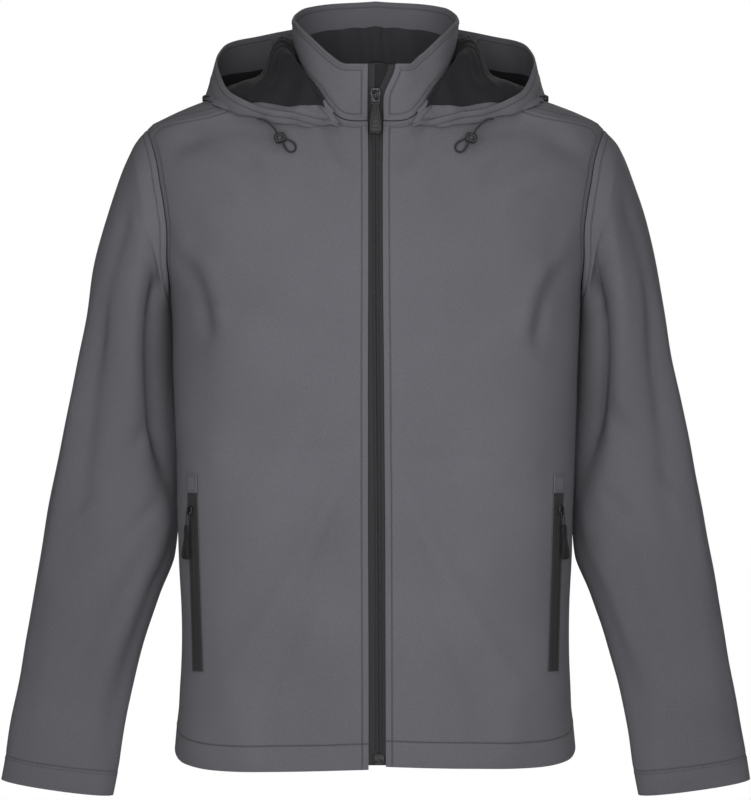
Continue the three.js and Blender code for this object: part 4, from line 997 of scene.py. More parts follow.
def makeSleeve(name, node, sign):
    turn = np.linspace(math.pi, 3 * math.pi, sleeveCut["around"] + 1)
    place = body(1 - armhole["reach"] * np.sin(turn), armhole["middle"] + armhole["half"] * np.cos(turn))
    tangent = unit(np.roll(place[:-1], 1, axis=0) - np.roll(place[:-1], -1, axis=0))
    tangent = np.concatenate([tangent, tangent[:1]])
    out = unit(bodyGradient(place))
    into = unit(np.cross(tangent, out))
    start = place + into * seamGap
    top = sleevePoint(turn, np.full(turn.shape, 0.0))
    leave = unit(top - start)
    join = sleeveCut["join"]
    first = sleevePoint(turn, np.full(turn.shape, join))
    onward = unit(sleevePoint(turn, np.full(turn.shape, join + 0.05)) - first)
    reach = np.linalg.norm(first - start, axis=-1, keepdims=True)
    t = np.linspace(0, 1, sleeveCut["headRows"] + 1)[:-1, None, None]
    head = (
        start * (2 * t**3 - 3 * t**2 + 1)
        + leave * reach * (t**3 - 2 * t**2 + t)
        + first * (3 * t**2 - 2 * t**3)
        + onward * reach * 0.8 * (t**3 - t**2)
    )
    stations = join + np.linspace(0, 1, sleeveCut["rows"] + 1) * (lastStation - join)
    rows = np.concatenate([head, sleevePoint(turn[None], stations[:, None])])
    along = np.concatenate([np.zeros(sleeveCut["headRows"]), stations / lastStation])
    degrees = np.degrees((turn + math.pi) % (2 * math.pi) - math.pi)
    flat = clothMetres(rows)
    # the cloth's own width is taken from one ring, so that the weave runs straight
    flat[..., 0] = np.linspace(0, 1, len(turn))[None] * flat[sleeveCut["widthRow"], -1, 0]
    if sign < 0:
        rows, flat, degrees = mirrored(rows)[:, ::-1], flat[:, ::-1], degrees[::-1]
    bm, verts = clothGrid(rows, flat, closed=True)
    depth = turnFolds(sleeveFolds, degrees[None], along[:, None])
    depth += turnFolds(sleeveCreases, degrees[None] + 4 * sign, along[:, None] + 0.01 * sign)
    amount = {}
    for r in range(rows.shape[0]):
        for c in range(rows.shape[1] - 1):
            amount[verts[r, c]] = depth[r, c]
    folds = np.array([amount[v] for v in bm.verts])
    settle(bm, lambda p: folds + ripple(p, 2.4 + sign) * 1.2, hemRow=list(verts[-1]), groove=0.4)
    sew("sleeveStitching", insetLine(verts, "top", sleeveCut["hemStitch"]))
    obj = addObject(bm, name, [shellCloth, innerCloth], node)
    wall(obj, panelCloth["thickness"], panelCloth["rim"], inside=1)


makeSleeve("sleeveLeft", "sleeve_left", 1)
makeSleeve("sleeveRight", "sleeve_right", -1)
print("sleeves made")


# Collar and its lining
def neckline(share):
    x, y, _ = planPoint(share, neckHole)
    return onShoulder(x, y)


def collarPoint(share, rise, lean):
    share, rise = np.broadcast_arrays(np.asarray(share, float), np.asarray(rise, float))
    low = neckline(share)
    x, y, _ = planPoint(share, collarTop)
    top = np.stack([x, y, collarHeight(share)], -1)
    nearZip = 1 - smooth(neckStart, collarFall["toShare"], share)
    fallsOpen = lean * smooth(collarFall["fromRise"], 1, rise) * nearZip
    outward = unit(np.stack([x, y, np.zeros(x.shape)], -1))
    p = mix(low, top, rise[..., None]) + outward * (collarBelly * np.sin(math.pi * rise))[..., None]
    p[..., 0] += fallsOpen
    return p


collarSet = {"columns": 100, "rows": 22, "thickness": 2.7, "rim": 0.95, "topStitch": 3.6, "endStitch": 6}
collarCreases = [
    (30, -18, 62, 10, 6, -0.9, 3),
    (46, -24, 70, 22, 9, 0.9, -4),
    (66, -14, 80, 34, 7, -0.8, 3),
    (16, -30, 14, 6, 5, -0.5, 0),
]


def makeCollar():
    share = mix(neckStart, 2, np.linspace(0, 1, collarSet["columns"] + 1))
    rise = np.linspace(0.002, 1, collarSet["rows"] + 1)[:, None]
    left, right = (collarPoint(share[None], rise, lean) for lean in (zipTopLean, 0))
    rows = np.concatenate([left, mirrored(right)[:, ::-1][:, 1:]], axis=1)
    bm, verts = clothGrid(rows, clothMetres(rows))

    def shape(p):
        creases = foldDepth(collarCreases, np.abs(p[:, 0]), p[:, 2]) * (p[:, 1] < 0)
        return creases + ripple(p * 1.6, 5.0) * 0.6

    settle(bm, shape, sink=0.1, groove=0.3)
    sew("collarStitching", insetLine(verts, "top", collarSet["topStitch"], first=1, last=-1))
    for side in ("start", "end"):
        sew("collarStitching", insetLine(verts, side, collarSet["endStitch"], first=1, last=-2))
    obj = addObject(bm, "collarStand", [shellCloth], "collar")
    wall(obj, collarSet["thickness"], collarSet["rim"])


makeCollar()

neckLiningSet = {
    "columns": 150,
    "rows": 14,
    "start": 0.66,
    "underTop": {"front": 24, "back": 30},
    "thickness": 0.9,
    "inset": 4.1,
    "foldDepth": 1.5,
}


def makeNeckLining():
    under = neckLiningSet["underTop"]
    share = mix(neckLiningSet["start"], 2, np.linspace(0, 1, neckLiningSet["columns"] + 1))
    foot = neckline(share)[:, 2]
    top = 1 - np.where(share < 1, under["front"], under["back"]) / (collarHeight(share) - foot)
    t = np.linspace(0, 1, neckLiningSet["rows"] + 1)[:, None]
    rows = bothSides(collarPoint(share[None], mix(0.05, top[None], t), 0))
    bm, _ = clothGrid(rows, clothMetres(rows))
    for vert in bm.verts:
        x, _, z = vert.co
        fold = 1 + math.sin(x / 5.2 + math.sin(x / 23) * 2 + z / 40)
        vert.co -= vert.normal * (neckLiningSet["inset"] + neckLiningSet["foldDepth"] * fold)
    bm.normal_update()
    obj = addObject(bm, "neckLining", [litNeckKnit], "neck_lining")
    wall(obj, neckLiningSet["thickness"], 0.3)


makeNeckLining()
print("collar made")


# Hood
hoodStations = {
    "share": [0.26, 0.42, 0.55, 0.68, 0.8, 0.9, 1, 1.1, 1.25, 1.45, 1.7, 2],
    "foldX": [36, 61, 86, 115, 142, 163, 177.5, 177, 166, 128, 72, 0],
    "foldY": [-107, -106, -102, -96, -83, -58, -15, 30, 84, 128, 152, 160],
    "foldZ": [-48, -50, -48.5, -41.5, -35, -25.5, -14.5, -22, -50, -100, -138, -150],
    "rimX": [37, 60, 85, 113, 137, 152, 162.5, 168.5, 161, 128, 78, 0],
    "rimY": [-110.5, -110.5, -109, -103, -88, -67, -36, 8, 62, 99, 123, 132],
    "rimZ": [-51, -43, -37, -31, -19, -7, 13, 34, 57, 71, 84, 90],
    "swell": [0, 0, 0, 0, 2, 3, 2, 2, 8, 17, 22, 24],
    "roll": [0, 1, 3, 8, 14, 20, 26, 31, 35, 37, 38, 38],
}
hoodSet = {
    "standOff": 1.5,
    "neckStep": 4.6,
    "rollStep": 15,
    "seamStation": 9.5,
    "sideColumns": 96,
    "crownColumns": 46,
    "rows": 46,
    "thickness": 1.7,
    "rim": 0.6,
    "rimStitch": 17,
    "crownStitch": 3.5,
}
hoodLast = len(hoodStations["share"]) - 1  # the station at the middle of the back
hoodSpan = 2 * hoodLast


def splineAt(points, t, even=False):
    points = np.array(points, float)
    last = len(points) - 1
    i = np.clip(np.floor(last * t).astype(int), 0, last - 1)
    h = (last * t - i)[:, None]
    padded = np.vstack([2 * points[0] - points[1], points, 2 * points[-1] - points[-2]])
    p0, p1, p2, p3 = (padded[i + k] for k in range(4))
    if even:
        m1, m2 = 0.5 * (p2 - p0), 0.5 * (p3 - p1)
    else:
        steps = (p1 - p0, p2 - p1, p3 - p2)
        d0, d1, d2 = (np.sqrt(np.linalg.norm(step, axis=1, keepdims=True)) for step in steps)
        d1 = np.where(d1 < 1e-2, 1, d1)
        d0, d2 = np.where(d0 < 1e-2, d1, d0), np.where(d2 < 1e-2, d1, d2)
        m1 = ((p1 - p0) / d0 - (p2 - p0) / (d0 + d1) + (p2 - p1) / d1) * d1
        m2 = ((p2 - p1) / d1 - (p3 - p1) / (d1 + d2) + (p3 - p2) / d2) * d1
    ends = p1 * (2 * h**3 - 3 * h**2 + 1) + p2 * (3 * h**2 - 2 * h**3)
    return ends + m1 * (h**3 - 2 * h**2 + h) + m2 * (h**3 - h**2)


def evenly(line, shares):
    lengths = np.concatenate([[0], np.cumsum(np.linalg.norm(np.diff(line, axis=0), axis=1))])
    return np.stack([np.interp(np.asarray(shares) * lengths[-1], lengths, line[:, k]) for k in range(3)], -1)


hoodKnots = {
    kind: np.array([hoodStations[kind + axis] for axis in "XYZ"], float).T for kind in ("fold", "rim")
}
hoodLong = {kind: np.vstack([knots, mirrored(knots[:-1])[::-1]]) for kind, knots in hoodKnots.items()}
hoodAlong = {key: monotone(range(hoodLast + 1), hoodStations[key]) for key in ("share", "swell", "roll")}


# One section of the hood, from its rim to the neck
def hoodSection(station):
    near = min(station, hoodSpan - station)
    t = np.array([station / hoodSpan])
    fold, rim = (splineAt(hoodLong[kind], t, even=True)[0] for kind in ("fold", "rim"))
    seam = neckline(hoodAlong["share"](near))
    if station > hoodLast:
        seam = mirrored(seam)
    outward = unit(seam * np.array([1, 1, 0]))
    up = np.array([0, 0, 1.0])
    neck = seam + outward * hoodSet["neckStep"] + up
    swell = mix(rim, fold, 0.45) + unit(fold * np.array([1, 1, 0])) * hoodAlong["swell"](near)
    roll = max(0.4, float(hoodAlong["roll"](near)))
    top = neck + outward * hoodSet["rollStep"] * min(1, roll / 14) + up * roll
    rest = [clearOfBody(mix(fold, neck, k), hoodSet["standOff"] + 1) for k in (0.3, 0.62)]
    return splineAt(np.array([rim, swell, fold, *rest, top, neck]), np.linspace(0, 1, 241))


crownSeam, crownSteps = hoodSet["seamStation"], hoodSet["crownColumns"] + 1
hoodSideStations = np.linspace(0, crownSeam, hoodSet["sideColumns"] + 1)
hoodCrownStations = np.linspace(crownSeam, hoodSpan - crownSeam, crownSteps)
hoodColumns = np.concatenate([hoodSideStations, hoodCrownStations[1:-1], (hoodSpan - hoodSideStations)[::-1]])
hoodSections = [hoodSection(s) for s in hoodColumns]


def hoodSheet(low, high, rows):
    shares = [np.linspace(1 - a, 1 - b, rows + 1) for a, b in zip(low, high)]
    grid = np.stack([evenly(line, s) for line, s in zip(hoodSections, shares)], axis=1)
    return clearOfBody(grid, hoodSet["standOff"])


# creases of the hood: station, share up from the neck, spread in stations, spread up, depth, slant
hoodCreases = [
    (0.9, 0.35, 0.35, 0.5, 2.2, 0.8),
    (1.6, 0.5, 0.3, 0.5, -2.2, 0.9),
    (2.4, 0.55, 0.35, 0.5, 2.0, 0.9),
    (3.2, 0.6, 0.3, 0.4, -1.6, 0.9),
    (7.6, 0.93, 0.35, 0.12, -1.6, 0.2),
    (8.5, 0.93, 0.3, 0.1, 1.2, 0.2),
    (9.6, 0.92, 0.4, 0.1, -1.4, -0.1),
    (4.6, 0.75, 0.5, 0.2, -1.2, 0.6),
    (8.0, 0.55, 0.8, 0.2, -3.0, 1.0),
    (10.2, 0.45, 0.8, 0.25, -3.0, 0.6),
]


def hoodShape(stations, up):
    near = np.minimum(stations, hoodSpan - stations)
    total = np.zeros(near.shape)
    for station, rise, spread, tall, depth, slant in hoodCreases:
        across = (near - station - slant * (up - rise)) / spread
        total += depth * np.exp(-(across**2)) * np.exp(-(((up - rise) / tall) ** 2))
    return total


def gridNormals(points):
    across = np.gradient(points, axis=1)
    up = np.gradient(points, axis=0)
    return unit(np.cross(across, up))


def creaseDepth(up):
    return hoodShape(hoodColumns[None] * np.ones(up.shape), up) * smooth(0, 0.08, up)


hoodCount = len(hoodColumns)
hoodGrid = hoodSheet([0] * hoodCount, [1] * hoodCount, hoodSet["rows"])
hoodUp = np.linspace(0, 1, hoodSet["rows"] + 1)[:, None] * np.ones((1, hoodCount))
hoodGrid = hoodGrid + gridNormals(hoodGrid) * creaseDepth(hoodUp)[..., None]
hoodGrid = clearOfBody(hoodGrid, hoodSet["standOff"])
hoodFlat = clothMetres(hoodGrid)


def makeHoodPanel(name, node, first, last, drawn):
    rows = drawBack(hoodGrid[:, first : last + 1], drawn)
    bm, verts = clothGrid(rows, hoodFlat[:, first : last + 1])
    settle(bm, lambda p: ripple(p * 1.3, 3.3) * 0.5, sink=0.35, groove=0.25)
    sew("hoodStitching", insetLine(verts, "top", hoodSet["rimStitch"], first=2, last=-2))
    for side in drawn:
        sew("hoodStitching", insetLine(verts, side, hoodSet["crownStitch"], first=4, last=-1))
    obj = addObject(bm, name, [shellCloth], node)
    wall(obj, hoodSet["thickness"], hoodSet["rim"])


crownStart, crownEnd = hoodSet["sideColumns"], hoodSet["sideColumns"] + hoodSet["crownColumns"]
makeHoodPanel("hoodLeft", "hood_left", 0, crownStart, ["end"])
makeHoodPanel("hoodCrown", "hood_crown", crownStart, crownEnd, ["start", "end"])
makeHoodPanel("hoodRight", "hood_right", crownEnd, hoodCount - 1, ["start"])

hoodLiningSet = {
    "station": [0, 0.4, 0.9, 2, 3.2, 4.6, 5.6, 6.8, 8, 9.5, 11],
    "top": [0.2, 0.28, 0.42, 0.6, 0.72, 0.78, 0.8, 0.84, 0.88, 0.915, 0.925],
    "inset": 2.3,
    "rows": 44,
    "start": 0.02,
    "ends": 0.35,
    "thickness": 0.9,
    # station, slant, spread and depth of its own folds
    "folds": [
        (4.25, -1.6, 0.1, 1.8),
        (5.2, -2.4, 0.3, 1.5),
        (6.6, -1.5, 0.35, 2.2),
        (2.9, -1.2, 0.3, 1.6),
        (8.6, 0.6, 0.4, 2.0),
        (10.3, 0, 0.5, 2.4),
    ],
}


def makeHoodLining():
    near = np.minimum(hoodColumns, hoodSpan - hoodColumns)
    high = monotone(hoodLiningSet["station"], hoodLiningSet["top"])(near)
    chosen = np.where(near >= hoodLiningSet["ends"])[0]
    grid = hoodSheet([hoodLiningSet["start"]] * hoodCount, high, hoodLiningSet["rows"])
    up = np.linspace(hoodLiningSet["start"], 1, hoodLiningSet["rows"] + 1)[:, None] * high[None]
    bands = np.zeros(up.shape)
    for station, slant, spread, depth in hoodLiningSet["folds"]:
        bands += depth * np.exp(-(((near[None] - station - slant * (up - 0.45)) / spread) ** 2))
    amount = creaseDepth(up) - hoodLiningSet["inset"] - bands * smooth(0.05, 0.2, up)
    grid = grid + gridNormals(grid) * amount[..., None]
    grid = grid[:, chosen[0] : chosen[-1] + 1]
    bm, _ = clothGrid(grid, clothMetres(grid))
    settle(bm, lambda p: -np.abs(ripple(p * 1.4, 7.1)) * 1.3, sink=0, groove=0)
    obj = addObject(bm, "hoodLining", [shadedHoodKnit], "hood_lining")
    wall(obj, hoodLiningSet["thickness"], 0.3)


makeHoodLining()
print("hood made")

# Hard pieces are drawn with x across, y up and z out, then set in place
def placeAt(centre, across, up, out):
    turn = Matrix([[float(v) for v in axis] for axis in (across, up, out)]).transposed().to_4x4()
    return Matrix.Translation([float(v) for v in centre]) @ turn


def through(points, count=48, closed=False):
    points = [tuple(p) + (0,) * (3 - len(p)) for p in points]
    if not closed:
        return splineAt(points, np.linspace(0, 1, count + 1))
    looped = points[-2:] + points + points[:3]
    last = len(looped) - 1
    return splineAt(looped, np.linspace(2 / last, (2 + len(points)) / last, count + 1)[:-1])


def tube(line, radius, around=10, closed=False):
    ahead = unit(np.roll(line, -1, 0) - np.roll(line, 1, 0)) if closed else unit(np.gradient(line, axis=0))
    side = unit(np.cross(ahead[0], [0.13, 0.3, 1.0]))
    sides = []
    for way in ahead:
        side = unit(side - way * np.dot(side, way))
        sides.append(side)
    sides = np.array(sides)
    turn = np.linspace(0, 2 * math.pi, around + 1)
    cosine, sine = (at(turn)[None, :, None] for at in (np.cos, np.sin))
    rings = line[:, None] + radius * (cosine * sides[:, None] + sine * np.cross(ahead, sides)[:, None])
    if closed:
        rings = np.concatenate([rings, rings[:1]])
    travelled = clothMetres(rings)[:, :1, 1]
    flat = np.stack(np.broadcast_arrays(turn[None] / (2 * math.pi), travelled), -1)
    bm, verts = clothGrid(rings, flat, closed=True)
    if closed:
        bmesh.ops.weld_verts(bm, targetmap={verts[-1, c]: verts[0, c] for c in range(around)})
    else:
        bmesh.ops.holes_fill(bm, edges=[e for e in bm.edges if e.is_boundary], sides=0)
    bmesh.ops.recalc_face_normals(bm, faces=bm.faces)
    return bm


def bothEdges(edge):
    return [(-x, y) for x, y in edge] + [(x, y) for x, y in reversed(edge)]


def soften(bm, edges, width, segments, clamp=True):
    bmesh.ops.bevel(
        bm,
        geom=edges,
        offset=width,
        segments=segments,
        profile=0.5,
        affect="EDGES",
        material=-1,
        clamp_overlap=clamp,
    )


# A flat slab by its outline, with rounded corners and rims, and a shallow dish in its face if asked
def slab(outline, thickness, soft, corner=0.0, dish=None):
    bm = bmesh.new()
    base = bm.faces.new([bm.verts.new((x, y, 0)) for x, y in outline])
    grown = bmesh.ops.extrude_face_region(bm, geom=[base])["geom"]
    raised = [v for v in grown if isinstance(v, bmesh.types.BMVert)]
    bmesh.ops.translate(bm, vec=(0, 0, thickness), verts=raised)
    bmesh.ops.holes_fill(bm, edges=[e for e in bm.edges if e.is_boundary], sides=0)
    bmesh.ops.recalc_face_normals(bm, faces=bm.faces)

    def upright(edge):
        return abs(edge.verts[0].co.z - edge.verts[1].co.z) > thickness / 2

    if corner:
        soften(bm, [e for e in bm.edges if upright(e) and e.calc_face_angle(0) > 0.5], corner, 4)
    soften(bm, [e for e in bm.edges if not upright(e)], soft, 3)
    bm.normal_update()
    if dish:
        face = max((f for f in bm.faces if f.normal.z > 0.99), key=lambda f: f.calc_area())
        bmesh.ops.inset_region(bm, faces=[face], thickness=dish[0], depth=0)
        bmesh.ops.inset_region(bm, faces=[face], thickness=dish[1], depth=-dish[1])
    return bm


def moved(bm, *vec):
    bmesh.ops.translate(bm, vec=vec, verts=bm.verts)
    return bm


def setPiece(name, bm, place, material, node, bodyName="jacket", sign=1):
    bmesh.ops.transform(bm, matrix=place, verts=bm.verts)
    if sign < 0:
        bmesh.ops.scale(bm, vec=(-1, 1, 1), verts=bm.verts)
        bmesh.ops.recalc_face_normals(bm, faces=bm.faces)
    return addObject(bm, name, [material], node, bodyName)


# A slider: a plate wider at its top, shoulders over the tape, and a wire bridge for the pull
def slider(size):
    half, wide, low = size["height"] / 2, size["top"] / 2, size["foot"] / 2
    outline = [
        (-low, -half),
        (low, -half),
        (wide, half * 0.3),
        (wide - 0.5, half),
        (-wide + 0.5, half),
        (-wide, half * 0.3),
    ]
    plate = slab(outline, size["thickness"], 0.55, corner=0.9, dish=(0.9, 0.3))
    reach, rise = size["reach"], size["rise"]
    rising = [(0, reach, -0.6), (0, reach, rise * 0.6), (0, reach / 2, rise)]
    bridge = rising + [(0, -y, z) for _, y, z in reversed(rising)]
    return joined(plate, moved(tube(through(bridge, 24), size["wire"]), 0, 0, size["thickness"]))


# Teeth of a zip: bars from both sides that meet in the middle
def oneBar(size):
    def make(bm, place):
        turn = Matrix.Rotation(math.radians(90), 4, "Y")
        turn = turn @ Matrix.Diagonal((size["tall"], size["along"], 1, 1))
        bmesh.ops.create_cone(
            bm, cap_ends=True, segments=8, radius1=1, radius2=0.82, depth=size["wide"], matrix=place @ turn
        )

    return make


def barPlaces(line, across, out, size):
    lengths = np.concatenate([[0], np.cumsum(np.linalg.norm(np.diff(line, axis=0), axis=1))])

    def at(travelled, values):
        return np.array([np.interp(travelled, lengths, values[:, axis]) for axis in range(3)])

    pitch = size["pitch"]
    for k, travelled in enumerate(np.arange(pitch, lengths[-1] - pitch, pitch / 2)):
        centre, aside, facing = (at(travelled, values) for values in (line, across, out))
        aside = unit(aside) * (1 if k % 2 else -1)
        facing = unit(facing)
        yield placeAt(centre - aside * size["aside"], aside, np.cross(facing, aside), facing)


# Centre zip
neckFront = float(neckline(0)[2])
neckHalf = float(planPoint(0, neckHole)[2])
mainZip = {
    "foot": -691.8,
    "top": 11.9,
    "step": 3,
    "sliderZ": -19,
    "tapeDepth": 2.35,
    "tapeEdges": (0.2, 17),
    "tapeThickness": 1.0,
    "flapDepth": 4.15,
    "flapEdges": (-21, 27),
    "flapThickness": 1.2,
    "barDepth": 1.35,
    "bars": {"pitch": 1.9, "wide": 3.3, "tall": 0.85, "along": 0.62, "aside": 1.5},
    "behindCollar": 1.35,
    "behindSeam": 1.7,
}


def frontFace(x, z, lean=0.0):
    x, z = np.broadcast_arrays(np.asarray(x, float), np.asarray(z, float))
    at = x + zipShift(z)
    low = body(np.abs(at) / planPoint(np.zeros(z.shape), ringAt(z))[2], z)
    rise = np.maximum((z - neckFront) / (float(collarHeight(0)) - neckFront), 0)
    high = collarPoint(np.abs(x) / neckHalf, rise, lean)
    low[..., 0] *= np.where(at < 0, -1, 1)
    high[..., 0] *= np.where(x < 0, -1, 1)
    return np.where(z[..., None] > neckFront, high, low)


def zipRows(xs, low, high, depth, lean=0.0):
    z = np.linspace(low, high, int((high - low) / mainZip["step"]) + 1)[:, None]
    rows = frontFace(np.asarray(xs, float)[None], z, lean)
    # it lies deeper behind the collar, and deepest at the seam below it
    behind = depth + smooth(neckFront - 20, neckFront - 8, rows[..., 2:]) * mainZip["behindCollar"]
    behind = behind + mainZip["behindSeam"] * np.exp(-(((rows[..., 2:] - neckFront) / 11) ** 2))
    out = gridNormals(rows)
    return rows - out * behind, out


def makeStrip(name, node, rows, material, thickness):
    bm, _ = clothGrid(rows, clothMetres(rows))
    wall(addObject(bm, name, [material], node), thickness, 0.25)


def makeMainZip():
    edges = np.linspace(*mainZip["tapeEdges"], 9)
    foot, top = mainZip["foot"], mainZip["top"]
    for side, xs, lean in (("Left", edges, zipTopLean), ("Right", -edges[::-1], 0.0)):
        rows, _ = zipRows(xs, foot, top, mainZip["tapeDepth"], lean)
        node = "zip_tape_" + side.lower()
        makeStrip("mainTape" + side, node, rows, tapeCloth, mainZip["tapeThickness"])
    rows, _ = zipRows(np.linspace(*mainZip["flapEdges"], 17), foot + 2, top, mainZip["flapDepth"])
    makeStrip("windFlap", "wind_flap", rows, shadedHoodKnit, mainZip["flapThickness"])
    line, out = zipRows([-1, 0, 1], foot + 12.5, mainZip["sliderZ"] + 2, mainZip["barDepth"])
    places = barPlaces(line[:, 1], line[:, 2] - line[:, 0], out[:, 1], mainZip["bars"])
    manyParts("mainChain", places, oneBar(mainZip["bars"]), toothPlastic, "zip_chain")


makeMainZip()

mainSliderSize = {
    "top": 10.5,
    "foot": 8,
    "height": 14,
    "thickness": 3,
    "reach": 4.4,
    "rise": 3.9,
    "wire": 0.8,
    "pinRise": 1.9,
}
mainBoxSize = {"edge": [(5.8, 5.5), (5.8, -5.5)], "thickness": 2.6, "rise": 6, "sink": 2}
mainPullSize = {
    "ring": [(0, 0), (3.2, -1.4), (3.9, -5), (2.7, -9.2), (0, -10.4), (-2.7, -9.2), (-3.9, -5), (-3.2, -1.4)],
    "ringWire": 0.75,
    "grip": [(2.2, -8), (2.8, -11), (3.8, -17), (5.4, -27), (5.6, -36), (4, -38.5)],
    "gripThickness": 2.8,
    "ridges": (-17, -21, -25, -29, -33),
}


# Ridges across a grip's face, for the fingers
def ridges(heights, halfWidth, top):
    parts = []
    for height in heights:
        bar = bmesh.new()
        place = Matrix.Translation((0, height, top)) @ Matrix.Diagonal((halfWidth(height), 0.55, 0.4, 1))
        bmesh.ops.create_uvsphere(bar, u_segments=10, v_segments=6, radius=1, matrix=place)
        parts.append(bar)
    return parts


def makeMainPull():
    across, up, out = np.eye(3)[0], np.eye(3)[2], -np.eye(3)[1]
    box = slab(bothEdges(mainBoxSize["edge"]), mainBoxSize["thickness"], 0.7, corner=1.2, dish=(1.3, 0.35))
    boxAt = frontFace(0, mainZip["foot"] + mainBoxSize["rise"]) - out * mainBoxSize["sink"]
    setPiece("zipBox", box, placeAt(boxAt, across, up, out), gripRubber, "zip_box")
    base = frontFace(0, mainZip["sliderZ"]) - out
    place = placeAt(base, across, up, out)
    setPiece("mainSlider", slider(mainSliderSize), place, gunmetal, "main_slider")
    pin = placeAt(base + out * (mainSliderSize["thickness"] + mainSliderSize["pinRise"]), across, up, out)
    ring = tube(through(mainPullSize["ring"], 40, closed=True), mainPullSize["ringWire"], closed=True)
    setPiece("mainPullRing", ring, pin, gunmetal, "main_pull_ring", "main_pull")
    thick = mainPullSize["gripThickness"]
    edge = [tuple(p[:2]) for p in through(mainPullSize["grip"], 16)]
    grip = slab(bothEdges(edge), thick, 0.75, corner=1.0, dish=(0.7, 0.35))
    bars = ridges(mainPullSize["ridges"], lambda y: 1.2 + (-y - 17) * 0.09, thick - 0.35)
    grip = moved(joined(grip, *bars), 0, 0, -thick / 2)
    setPiece("mainPullGrip", grip, pin, gripRubber, "main_pull_grip", "main_pull")


makeMainPull()
print("centre zip made")

# Hand pockets
pocketSet = {
    "top": (186, -420.5),
    "bottom": (180.6, -601.8),
    "half": 8,
    "garageTop": -401,
    "sliderZ": -438,
    "lean": 9,
    "lift": {"tape": 1.35, "garage": 1.55, "chain": 2.1, "slider": 3.15, "pin": 0.95, "stitch": 0.1},
    "thickness": {"tape": 1.0, "garage": 1.2, "grip": 3},
    "garageStitch": (1.9, 2.6),
    "sideStitch": (1.5, 2.8),
    "bars": {"pitch": 1.75, "wide": 2.7, "tall": 0.6, "along": 0.55, "aside": 1.2},
    "slider": {"top": 7.5, "foot": 6, "height": 9.5, "thickness": 2.2, "reach": 3, "rise": 2.8, "wire": 0.65},
    "loop": [
        (0, 0), (2.3, -1), (2.5, -5.5), (2.5, -13), (2.3, -16.5),
        (0, -17.5), (-2.3, -16.5), (-2.5, -13), (-2.5, -5.5), (-2.3, -1),
    ],
    "loopWire": 0.6,
    "grip": [
        (2.6, -15), (3.4, -18.5), (3, -23.5), (2.5, -28.5),
        (3.6, -34.5), (4.9, -41.5), (4.9, -47.5), (3, -50),
    ],
    "ridges": (-35, -38.5, -42, -45.5),
}


def bodyFaceY(x, z):
    ring = ringAt(z)
    power = ring["square"]
    return -ring["front"] * np.maximum(0, 1 - (np.abs(x) / ring["side"]) ** power) ** (1 / power)


def pocketPlace(t, across=0.0):
    def lineAt(v):
        x, z = (mix(a, b, v) for a, b in zip(pocketSet["top"], pocketSet["bottom"]))
        return np.stack([x, bodyFaceY(x, z), z], -1)

    t = np.asarray(t, float)
    centre = lineAt(t)
    up = unit(lineAt(t - 0.01) - lineAt(t + 0.01))
    aside = unit(np.cross(up, unit(bodyGradient(centre))))
    p = centre + aside * np.asarray(across, float)[..., None]
    p[..., 1] = bodyFaceY(p[..., 0], p[..., 2])
    return p, aside, up, np.cross(aside, up)


def pocketRows(low, high, xs, lift, count):
    t = np.linspace(low, high, count + 1)[:, None]
    p, _, _, out = pocketPlace(t, np.asarray(xs, float)[None])
    return p + out * lift


